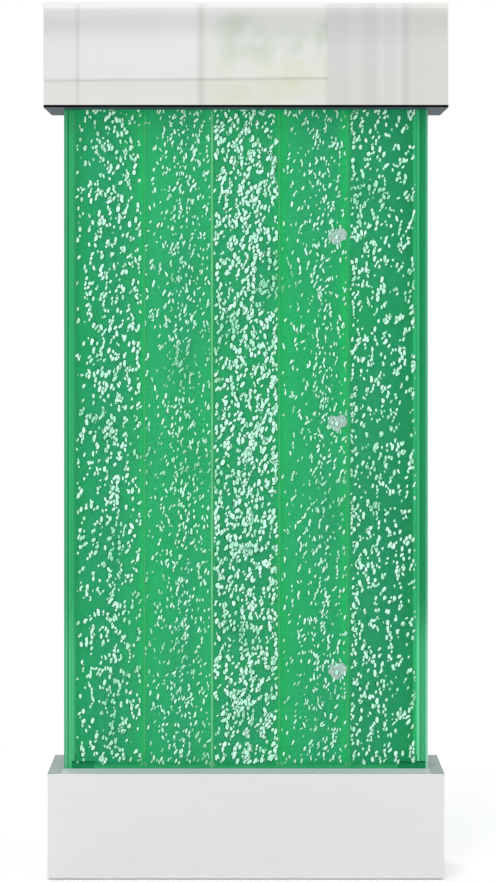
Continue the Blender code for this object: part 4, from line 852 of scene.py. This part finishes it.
# count on one side, bubbles in a string, half width, half height, crowding, lean of stream
STREAMS = [
    (1380, 1.35, 0.0036, 0.0050, 0.30, 0.90),
    (1400, 1.15, 0.0024, 0.0046, 0.40, 0.82),
    (2280, 1.45, 0.0040, 0.0056, 0.20, 0.97),
    (1120, 1.2, 0.0024, 0.0047, 0.36, 0.76),
    (1400, 1.4, 0.0036, 0.0050, 0.12, 1.20),
]


def mirrored_between(values, low, high):
    """Turn back what lies past either limit: high - |high - (low + |v - low|)|."""
    return high - np.abs(high - (low + np.abs(values - low)))


def bubble_points(left, right, count, together, wide, tall, crowd, skew):
    """Squashed, dented spheres as one array of points, count to each side of the haze.

    String k starts at the shares u = frac(k * 0.7549) across and frac(k * 0.5698) up.
    Across, u + crowd * sin(2 pi u) / (2 pi) crowds to the middle, and the power skew leans
    to one side. Along a string, the direction is a running sum of small random turns, and
    the places are a running sum of steps, both taken less their value at the string's
    start. A bubble's own frame is the unit sphere times its half sizes, turned by a small
    lean about the Y axis: x cos + z sin, z cos - x sin.
    """
    total = 2 * count
    starts = rng.random(total) < 1 / together
    starts[0] = True
    string = np.cumsum(starts) - 1
    first = np.flatnonzero(starts)[string]
    k = np.arange(string[-1] + 1)
    u = (k * STEP_ACROSS + rng.normal(0, SCATTER_ACROSS, len(k))) % 1
    u = np.clip(u + crowd * np.sin(2 * np.pi * u) / (2 * np.pi), 0, 1) ** skew
    up = k * STEP_UP % 1 + rng.normal(0, SCATTER_UP, len(k))
    begin = np.stack([left + (right - left) * u, WATER_LOW + (WATER_HIGH - WATER_LOW) * up])
    size = np.clip(rng.lognormal(0, SIZE_SPREAD, total), SMALLEST, LARGEST)
    turns = np.cumsum(rng.normal(0, WANDER, total))
    way = rng.normal(LEAN, WAY_SPREAD, len(k))[string] + turns - turns[first]
    walk = np.cumsum(SPACING * size * np.stack([wide * np.sin(way), tall * np.cos(way)]), 1)
    x, z = begin[:, string] + walk - walk[:, first]
    half_x = wide * size
    half_z = tall * size * rng.uniform(*TALLNESS, total)
    x = mirrored_between(x, left + half_x + WALL_ROOM, right - half_x - WALL_ROOM)
    z = mirrored_between(z, WATER_LOW + ABOVE_FLOOR, WATER_HIGH - BELOW_TOP)
    reach = WALL_FACE - SHEET_ROOM - half_x
    depth = rng.random(len(k))[string] ** FORWARD
    y = np.where(string % 2, 1, -1) * (reach - (reach - CORE_HALF - SHEET_ROOM) * depth)
    lean = rng.normal(LEAN, LEAN_SPREAD, total)
    dents = rng.normal(0, DENTS, (total, len(sphere_points), 1))
    dented = sphere_points * (1 + np.clip(dents, -DENT_LIMIT, DENT_LIMIT))
    p = dented * np.stack([half_x, FLATTEN * half_x, half_z], -1)[:, None]
    sin, cos = np.sin(lean)[:, None], np.cos(lean)[:, None]
    turned = np.stack([p[..., 0] * cos + p[..., 2] * sin, p[..., 1],
                       p[..., 2] * cos - p[..., 0] * sin], -1)
    return turned + np.stack([x, y, z], -1)[:, None]


made = 0
for number, ((left, right), stream) in enumerate(zip(channels, STREAMS), 1):
    points = bubble_points(left, right, *stream)
    put_balls(f"bubbles_{number}", points)
    made += len(points)
print(f"{made} bubbles")

# %% [markdown]
# Three large pale clusters float in the fourth channel, one above another. Each is a knot
# of bubbles that have run together. A metaball could do it, but a sphere whose radius
# swells towards a few chosen directions is one clean surface.

# %% The clusters' finish
def cluster_finish():
    """Pale, bumpy foam that turns greener where it curves away."""
    material = grained("foam_cluster", shows(218, 226, 226), shows(150, 184, 182), (240, 240, 240),
                       (0.15, 0.30), bump=0.4, detail=2.0, depth=0.0005)
    tree = material.node_tree
    greener = remap(tree, slant_of(tree), 0.30, 0.85)
    lit(tree, blend(tree, greener, source_of(tree), shows(120, 184, 152)), GLOW)
    return material


foam = cluster_finish()
print("cluster finish made")

# %% The three large clusters
CLUSTER_X = 0.1935
CLUSTER_HEIGHTS = (1.346, 0.951, 0.425)
CLUSTER_RADIUS = 0.0146
CLUSTER_BEHIND = 0.0125
CLUSTER_SHAPE = (1.18, 0.70, 1.08)
LOBE_REST = 0.70
LOBE_SWELL = 0.48
LOBE_SHARP = 12
LOBES = np.array([(-0.85, 0, 0.75), (-1.0, 0, -0.25), (-0.50, 0, -1.0), (0.10, 0.1, -0.85),
                  (0.60, 0, 0.85), (1.0, 0, 0.30), (0.90, 0, -0.40), (0.0, -1.0, 0.0),
                  (0.0, 1.0, 0.0)])


def cluster_points(centre, rows=40, columns=72):
    """A lobed ball: radius = R * (rest + swell * the sum of exp(sharp * (cos to a lobe - 1)))."""
    way = directions(np.linspace(0.02, np.pi - 0.02, rows)[:, None],
                     np.linspace(0, 2 * np.pi, columns, endpoint=False)[None])
    lobes = LOBES / np.linalg.norm(LOBES, axis=1, keepdims=True)
    swell = np.exp(LOBE_SHARP * (way @ lobes.T - 1)).sum(-1)
    radius = CLUSTER_RADIUS * (LOBE_REST + LOBE_SWELL * swell)
    scaled = way * radius[..., None] * np.array(CLUSTER_SHAPE)
    return scaled.reshape(-1, 3) + centre, rows, columns


# a bright bead on each cluster's face, which is a painted highlight, and beads above and
# below it: place, then half sizes
HIGHLIGHT_AND_BEADS = np.array([[(-0.0015, -0.0112, -0.003), (0.0050, 0.0012, 0.0058)],
                  [(0.0065, -0.004, 0.0200), (0.0030, 0.0025, 0.0036)],
                  [(0.0065, -0.006, -0.0210), (0.0018, 0.0018, 0.0060)],
                  [(-0.0185, -0.004, 0.0080), (0.0022, 0.0020, 0.0040)]])

for number, height in enumerate(CLUSTER_HEIGHTS, 1):
    centre = np.array((CLUSTER_X, -WALL_FACE + CLUSTER_BEHIND, height))
    points, faces = capped(*cluster_points(centre))
    put(f"foam_cluster_{number}", points, faces[:, ::-1], foam)
    put_balls(f"cluster_beads_{number}", sphere_points * HIGHLIGHT_AND_BEADS[:, 1, None] + HIGHLIGHT_AND_BEADS[:, 0, None] + centre)
print("3 clusters")

# %% [markdown]
# ## Smooth skins for the round parts
#
# The frame's round parts have flat sides, because their solids are kept light. The same
# helper gives each a copy whose shading is smooth round the curves.

# %% Smooth skins
finish["hose_plastic"] = clear_sheet("hose_plastic", (0.60, 0.68, 0.65), 0.75, 0.0, edge_alpha=0.95,
                                     rough=(0.20, 0.32))
ROUND_PARTS = {"air_manifold": "brass", "drain_valve": "brass", "pump_case": "black_plastic",
               "pump_cover": "grey_plastic", "check_valve": "blue_plastic",
               "drain_lever": "blue_plastic", "air_hose": "hose_plastic",
               "hinge_pin": "zinc_steel", "door_pull": "polished_steel"}
for name, look in ROUND_PARTS.items():
    skin(name, finish[look])
print(f"{len(ROUND_PARTS)} smooth skins")

# %% [markdown]
# ## The LED board
#
# The board is a white strip with a green-lit LED every 33 mm. The finish lights only what
# stands above the board's face, which is the LEDs.

# %% The LED board's finish
LED_TALL = 0.0012


def board_finish():
    """White lacquer below, and glowing green from the LEDs' feet upwards."""
    material = grained("led_board", (0.82, 0.83, 0.82), (0.74, 0.75, 0.74), (500, 500, 500),
                       (0.35, 0.5), bump=0.1)
    tree = material.node_tree
    top = math_node(tree, "GREATER_THAN", axes_of(tree)["Z"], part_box("led_board")[1].z - LED_TALL)
    tune(tree, Emission_Color=blend(tree, top, (0.0, 0.0, 0.0), (0.05, 0.95, 0.35)),
         Emission_Strength=1.0)
    return material


dress(board_finish(), "led_board")
print("LED board dressed")

# %% [markdown]
# ## Levelling feet
#
# Each foot is an M8 stud in a rubber-faced pad. The thread is a triangle wave that winds
# up the stud: at the angle t and the height z, the radius depends on z / pitch - t / 2 pi.
# The pad is a turned shape with three grip rings.

# %% Threaded studs and pads
PITCH = 0.00125
THREAD_DEPTH = 0.00045
THREAD_LEAD = 0.0008
HEX_WIDE = 0.0065
HEX_CHAMFER = 0.0004
HEX_TAPER = 0.93
HEX_ROUNDED = 0.97
HEX_LOW = 0.0003
HEX_HIGH = 0.0037
STUD_RADIUS = 0.004


def rings(x, y, radius, height, t):
    """Rings about an upright axis: (x + r cos t, y + r sin t, z), a row for each height."""
    grid = np.broadcast_arrays(x + radius * np.cos(t), y + radius * np.sin(t), height[:, None])
    return np.stack(grid, -1).reshape(-1, 3), len(height), len(t)


def stud_points(x, y, low, high, hex_low, hex_high):
    """A threaded stud with a hexagonal collar.

    Rows climb the stud. On the thread the radius is R - depth * |saw|, with the saw from
    the phase z / pitch - t / 2 pi. On the collar it is the hexagon's h / cos(t mod 60 - 30).
    """
    lower = np.linspace(low, hex_low - FILM, 24)
    upper = np.linspace(hex_high + FILM, high, 260)
    t = np.linspace(0, 2 * np.pi, 48, endpoint=False)

    def threaded(z):
        phase = z[:, None] / PITCH - t[None] / (2 * np.pi)
        saw = np.abs(2 * (phase % 1) - 1)
        taper = np.clip(np.minimum(z - low, high - z) / THREAD_LEAD, 0, 1)[:, None]
        return STUD_RADIUS - THREAD_LEAD * (1 - taper) - THREAD_DEPTH * saw

    flat = HEX_WIDE * math.cos(math.pi / 6)
    hexagon = flat / np.cos((t + math.pi / 6) % (math.pi / 3) - math.pi / 6)
    collar = np.array([[HEX_TAPER], [1], [1], [HEX_TAPER]]) * np.minimum(hexagon, HEX_WIDE * HEX_ROUNDED)
    collar_z = [hex_low, hex_low + HEX_CHAMFER, hex_high - HEX_CHAMFER, hex_high]
    return rings(x, y, np.concatenate([threaded(lower), collar, threaded(upper)]),
                 np.concatenate([lower, collar_z, upper]), t)


def pad_points(x, y, low, high):
    """A turned pad. Each (radius, height) pair of the profile becomes a ring."""
    tall = high - low
    profile = np.array([
        (0.0185, low), (0.0200, low + 0.0006), (0.0200, low + 0.0016), (0.0196, low + 0.0019),
        (0.0200, low + 0.0022), (0.0200, low + 0.0032), (0.0196, low + 0.0035),
        (0.0199, low + 0.0038), (0.0190, low + 0.55 * tall), (0.0150, low + 0.85 * tall),
        (0.0132, low + 0.97 * tall), (0.0126, high), (0.0060, high), (0.0045, high - 0.0003),
        (0.0044, high - 0.0030), (0.0030, high - 0.0034)])
    return rings(x, y, profile[:, :1], profile[:, 1], np.linspace(0, 2 * np.pi, 64, endpoint=False))


zinc, rubber = finish["zinc_steel"], finish["rubber"]
for place in ("front_left", "front_right", "back_left", "back_right"):
    low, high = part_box(f"foot_stud_{place}")
    x, y = (low.x + high.x) / 2, (low.y + high.y) / 2
    pad_low, pad_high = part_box(f"foot_pad_{place}")
    thread = capped(*stud_points(x, y, low.z, high.z, pad_high.z + HEX_LOW, pad_high.z + HEX_HIGH))
    stud = put(f"thread_{place}", *thread, zinc, f"stud_{place}", "zinc_steel", smooth=False)
    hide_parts(f"foot_stud_{place}")
    turned = capped(*pad_points(x, y, pad_low.z, pad_high.z))
    pad = put(f"pad_{place}", *turned, rubber, f"foot_{place}", "rubber", smooth=False)
    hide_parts(f"foot_pad_{place}")
print("4 feet")

# %% [markdown]
# ## Screws
#
# Pan-head screws hold the back panel to the base's returns and the header's shell to its
# crossbars. A head is a shallow dome with a cross recess, pressed down where the point
# lies close to one of two crossing lines.

# %% Screws
SCREW_RADIUS = 0.0035
SCREW_TALL = 0.0022
SLOT_HALF = 0.0006
SLOT_REACH = 0.0021
SLOT_DEEP = 0.0011
SCREW_X = 0.404
SCREW_HEIGHTS = (0.040, 0.112, 0.184)
HEADER_SCREW_X = 0.300


def screw_points(centre, rows=14, columns=48):
    """A domed head that faces +Y: height = H * sqrt(1 - 0.75 * (r / R)^2), less the recess.

    The recess is where |a| or |b| is under the slot's half width and the other one is
    within its reach.
    """
    share = np.linspace(1, 0.03, rows)[:, None]
    t = np.linspace(0, 2 * np.pi, columns, endpoint=False)[None]
    a, b = SCREW_RADIUS * share * np.cos(t), SCREW_RADIUS * share * np.sin(t)
    near = np.minimum(np.abs(a), np.abs(b)) < SLOT_HALF
    within = np.maximum(np.abs(a), np.abs(b)) < SLOT_REACH
    height = SCREW_TALL * np.sqrt(1 - 0.75 * share ** 2) - SLOT_DEEP * (near & within)
    foot = np.stack([-a[0], 0 * a[0], b[0]], -1)
    head = np.stack([-a, height, b], -1).reshape(-1, 3)
    return np.concatenate([foot, head]) + centre, rows + 1, columns


def screw(name, *centre):
    """Put a zinc screw head at a place on the back."""
    put(name, *capped(*screw_points(np.array(centre))), zinc, "panel", "zinc_steel", smooth=False)


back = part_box("base_wrap")[1].y
for k, (x, z) in enumerate([(s * SCREW_X, h) for s in (-1, 1) for h in SCREW_HEIGHTS], 1):
    screw(f"back_screw_{k}", x, back, z)
bar_low, bar_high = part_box("header_crossbar_left")
for k, x in enumerate((-HEADER_SCREW_X, HEADER_SCREW_X), 1):
    screw(f"header_screw_{k}", x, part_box("header_shell")[1].y, (bar_low.z + bar_high.z) / 2)
print("8 screws")

# %% [markdown]
# ## Floor and studio
#
# The object stands on a plain pale floor against white. The white is what the camera and
# the metal's reflections see. What lights soft surfaces is a calmer level of world light
# with three lamps, so that colours come out about as they are written.
#
# The header is a mirror, so it needs a room to reflect. Above the horizon the studio is a
# little brighter than below, and darker towards either side.

# %% Helpers for the studio
def mix_shader(tree, share, first, second):
    """One shader blended into another by a share."""
    mix = tree.nodes.new("ShaderNodeMixShader")
    for socket, value in zip(mix.inputs, (share, first, second)):
        tree.links.new(value, socket)
    return mix.outputs[0]


def light_node(tree, kind, colour, strength=1.0):
    """A Background or an Emission node of a colour and a strength."""
    node = tree.nodes.new(f"ShaderNode{kind}")
    give(tree, node.inputs["Color"], colour)
    give(tree, node.inputs["Strength"], strength)
    return node.outputs[0]


def rays_of(tree, *kinds):
    """1 for any of these kinds of ray, and 0 for the others."""
    path = tree.nodes.new("ShaderNodeLightPath")
    share = path.outputs[f"Is {kinds[0]} Ray"]
    for kind in kinds[1:]:
        share = math_node(tree, "MAXIMUM", share, path.outputs[f"Is {kind} Ray"])
    return share


def grey(level, warm=0.0):
    """A grey, or a grey that is a little warm."""
    return (level * (1 + warm), level, level * (1 - 2 * warm))


def greys(tree, source, rows):
    """A ramp of greys. A row is a position, a level and, where it isn't 0, a warmth."""
    return ramp_of(tree, source, [(at, grey(*level)) for at, *level in rows])


WHITE = (1.0, 1.0, 1.0)
print("helpers for the studio")

# %% The world
world = bpy.data.worlds.new("studio")
bpy.context.scene.world = world
world.use_nodes = True
sky = world.node_tree
sky.nodes.clear()
axes = parts_of(sky, sky.nodes.new("ShaderNodeTexCoord").outputs["Generated"])
height = ramp_of(sky, remap(sky, axes["Z"], -1.0, 1.0), [
    (0.30, (0.66, 0.66, 0.65)), (0.528, (0.84, 0.85, 0.80)), (0.545, (1.0, 1.0, 0.985)),
    (0.85, (0.90, 0.91, 0.92))])
around = ramp_of(sky, remap(sky, axes["X"], -1.0, 1.0), [
    (0.00, (0.86, 0.86, 0.86)), (0.06, (0.62, 0.62, 0.63)), (0.16, (0.80, 0.80, 0.80)), (0.32, WHITE),
    (0.68, WHITE), (0.84, (0.80, 0.80, 0.80)), (0.94, (0.62, 0.62, 0.63)), (1.00, (0.86, 0.86, 0.86))])
soft = light_node(sky, "Background", (0.97, 0.985, 1.0), 0.55)
mirrored = light_node(sky, "Background", times(sky, height, around))
lighting = mix_shader(sky, rays_of(sky, "Glossy"), soft, mirrored)
shown = mix_shader(sky, rays_of(sky, "Camera", "Transmission"), lighting,
                   light_node(sky, "Background", WHITE))
sky.links.new(shown, sky.nodes.new("ShaderNodeOutputWorld").inputs["Surface"])
print("white studio")

# %% The floor
FLOOR_HALF = 30
FLOOR_LIFT = 0.22
FADE_FROM = 0.7
FADE_TO = 1.7

floor_mesh = bpy.data.meshes.new("floor")
corners = [(x * FLOOR_HALF, y * FLOOR_HALF, 0) for x, y in ((-1, -1), (1, -1), (1, 1), (-1, 1))]
floor_mesh.from_pydata(corners, [], [(0, 1, 2, 3)])
floor = bpy.data.objects.new("floor", floor_mesh)
bpy.context.scene.collection.objects.link(floor)
floor_paint = bpy.data.materials.new("floor_paint")
floor_paint.use_nodes = True
tree = floor_paint.node_tree
seen = rays_of(tree, "Glossy", "Transmission", "Camera")
tune(tree, Base_Color=(0.86, 0.86, 0.86), Roughness=0.7, Emission_Color=WHITE,
     Emission_Strength=product(tree, seen, FLOOR_LIFT))
reach = tree.nodes.new("ShaderNodeVectorMath")
reach.operation = "LENGTH"
tree.links.new(object_place(tree), reach.inputs[0])
far = product(tree, seen, remap(tree, reach.outputs["Value"], FADE_FROM, FADE_TO, smooth=True))
faded = mix_shader(tree, far, tree.nodes["Principled BSDF"].outputs[0], light_node(tree, "Emission", WHITE))
tree.links.new(faded, tree.nodes["Material Output"].inputs["Surface"])
floor_mesh.materials.append(floor_paint)
print("pale floor that fades to white")

# %% [markdown]
# The header's mirror looks past the camera into a bright room: a large window with thin
# bars and, to the right, a drawn curtain. One card in front of the header stands for it.
# Only glossy rays see a card, so it lights nothing and casts nothing. Its colour is the
# product of a ramp along its height and a ramp along its width, and a faint green tint
# drifts over a part of it.

# %% What the header mirrors
CARD_Y = -0.62
CARD_X = 0.62
CARD_LOW = 1.60
CARD_HIGH = 1.95
CURTAIN_X = 0.1846
SLANT = 0.009
LOW_TINT = (0.95, 0.985, 0.84)
HIGH_TINT = (0.80, 0.875, 0.79)
TINT_SIDE = (-0.12, -0.02)
TINT_TOP = (1.865, 1.845)
TINT_CHANGE = (1.72, 1.78)
CARD_FULL_X = 0.48
CARD_FULL_LOW = 1.645
CARD_FULL_HIGH = 1.895


def faded_glow(name, build):
    """A material that glows with a colour, and fades out where any of its masks does.

    build takes the node tree and returns the colour and the masks.
    """
    material = bpy.data.materials.new(name)
    material.use_nodes = True
    tree = material.node_tree
    tree.nodes.clear()
    colour, *masks = build(tree)
    clear = tree.nodes.new("ShaderNodeBsdfTransparent").outputs[0]
    faded = mix_shader(tree, product(tree, *masks), clear, light_node(tree, "Emission", colour))
    tree.links.new(faded, tree.nodes.new("ShaderNodeOutputMaterial").inputs["Surface"])
    return material


def reflected_card(name, start, end, low, high, look):
    """An upright card that only reflections see, from one place on the floor to another."""
    mesh = bpy.data.meshes.new(name)
    mesh.from_pydata([(*start, low), (*end, low), (*end, high), (*start, high)], [], [(0, 1, 2, 3)])
    mesh.materials.append(look)
    card = bpy.data.objects.new(name, mesh)
    bpy.context.scene.collection.objects.link(card)
    for ray in ("camera", "diffuse", "shadow", "transmission", "volume_scatter"):
        setattr(card, f"visible_{ray}", False)


def window_and_curtain(tree):
    """A ramp over the height, tilted a little, times a ramp over the width."""
    axes = axes_of(tree)
    level = math_node(tree, "SUBTRACT", axes["Z"], product(tree, axes["X"], SLANT))
    height = remap(tree, level, CARD_LOW, CARD_HIGH)
    panes = greys(tree, height, [
        (0.00, 0.81, 0.005), (0.130, 0.85, 0.005), (0.270, 0.82, 0.012), (0.292, 0.82, 0.012),
        (0.305, 0.65, 0.02), (0.321, 0.87), (0.500, 0.885), (0.560, 0.87), (0.660, 0.755),
        (0.700, 0.76), (0.757, 0.83), (0.780, 0.95)])
    cloth = greys(tree, height, [
        (0.00, 0.80), (0.15, 0.82, 0.008), (0.50, 0.82, 0.005), (0.64, 0.75), (0.70, 0.73),
        (0.757, 0.83), (0.780, 0.95)])
    bars = greys(tree, remap(tree, axes["X"], -CARD_X, CARD_X), [
        (0.00, 0.99), (0.189, 0.99), (0.1945, 0.84), (0.200, 1.0), (0.408, 1.0), (0.4185, 0.84, 0.01),
        (0.430, 0.99, 0.004), (0.640, 1.0, 0.008), (0.650, 0.90), (0.68, 0.89), (0.70, 0.95),
        (0.715, 0.89), (0.73, 0.87), (0.745, 0.96), (0.760, 0.91), (0.780, 0.97), (0.790, 0.83),
        (0.800, 0.93, 0.014), (0.86, 0.95, 0.016)])
    drawn = math_node(tree, "GREATER_THAN", axes["X"], CURTAIN_X)
    bright = times(tree, blend(tree, drawn, panes, cloth), bars)
    tinted = product(tree, math_node(tree, "SUBTRACT", 1.0, drawn),
                     remap(tree, axes["X"], *TINT_SIDE, smooth=True),
                     remap(tree, axes["Z"], *TINT_TOP),
                     remap(tree, noise_of(tree, 16, 2), 0.38, 0.60, 0.15, 1.0))
    tint = blend(tree, remap(tree, axes["Z"], *TINT_CHANGE, smooth=True), LOW_TINT, HIGH_TINT)
    return (blend(tree, tinted, bright, times(tree, bright, tint)),
            remap(tree, math_node(tree, "ABSOLUTE", axes["X"]), CARD_X, CARD_FULL_X, smooth=True),
            remap(tree, axes["Z"], CARD_LOW, CARD_FULL_LOW, smooth=True),
            remap(tree, axes["Z"], CARD_HIGH, CARD_FULL_HIGH, smooth=True))


reflected_card("mirrored_window", (-CARD_X, CARD_Y), (CARD_X, CARD_Y), CARD_LOW, CARD_HIGH,
               faded_glow("mirrored_window", window_and_curtain))
print("a card for the window and the curtain")

# %% [markdown]
# Seen from its sides and from behind, the header mirrors the other walls of the room. One
# long card behind it and one beside each end are soft grey clouds without a hard edge.

# %% What the header's other sides mirror
WALL_LOW = 1.15
WALL_HIGH = 2.25
WALL_X = 1.5
WALL_Y = 0.62
SIDE_X = 1.05
SIDE_Y = 1.0


def cloud_finish(name, axis, reach):
    """A pale cloud: grey by the height, and fading out towards the card's four edges."""
    def cloud(tree):
        axes = axes_of(tree)
        height = remap(tree, axes["Z"], WALL_LOW, WALL_HIGH)
        return (greys(tree, height, [(0.00, 0.80), (0.30, 0.78), (0.42, 0.90), (0.55, 0.88),
                                     (0.66, 0.74), (0.75, 0.90)]),
                remap(tree, math_node(tree, "ABSOLUTE", axes[axis]), reach, 0.35 * reach, smooth=True),
                remap(tree, height, 0.0, 0.25, smooth=True),
                remap(tree, height, 1.0, 0.80, smooth=True))

    return faded_glow(name, cloud)


reflected_card("mirrored_back_wall", (-WALL_X, WALL_Y), (WALL_X, WALL_Y), WALL_LOW, WALL_HIGH,
               cloud_finish("back_cloud", "X", WALL_X))
side_cloud = cloud_finish("side_cloud", "Y", SIDE_Y)
for side, x in (("left", -SIDE_X), ("right", SIDE_X)):
    reflected_card(f"mirrored_{side}_wall", (x, -SIDE_Y), (x, SIDE_Y), WALL_LOW, WALL_HIGH, side_cloud)
print("3 cards for the other walls")

# %% Lamps
AIM = Vector((0, 0, 0.9))
LAMPS = [("front_lamp", (-1.6, -4.2, 3.0), 3.0, 95.0), ("side_lamp", (3.4, -1.2, 2.2), 2.4, 45.0),
         ("back_lamp", (-1.2, 4.0, 2.8), 3.0, 80.0)]
for name, where, wide, power in LAMPS:
    light = bpy.data.lights.new(name, "AREA")
    light.shape = "DISK"
    light.size = wide
    light.energy = power
    lamp = bpy.data.objects.new(name, light)
    lamp.location = where
    lamp.rotation_euler = (AIM - lamp.location).to_track_quat("-Z", "Y").to_euler()
    lamp.visible_glossy = False
    bpy.context.scene.collection.objects.link(lamp)
print(f"{len(LAMPS)} lamps")
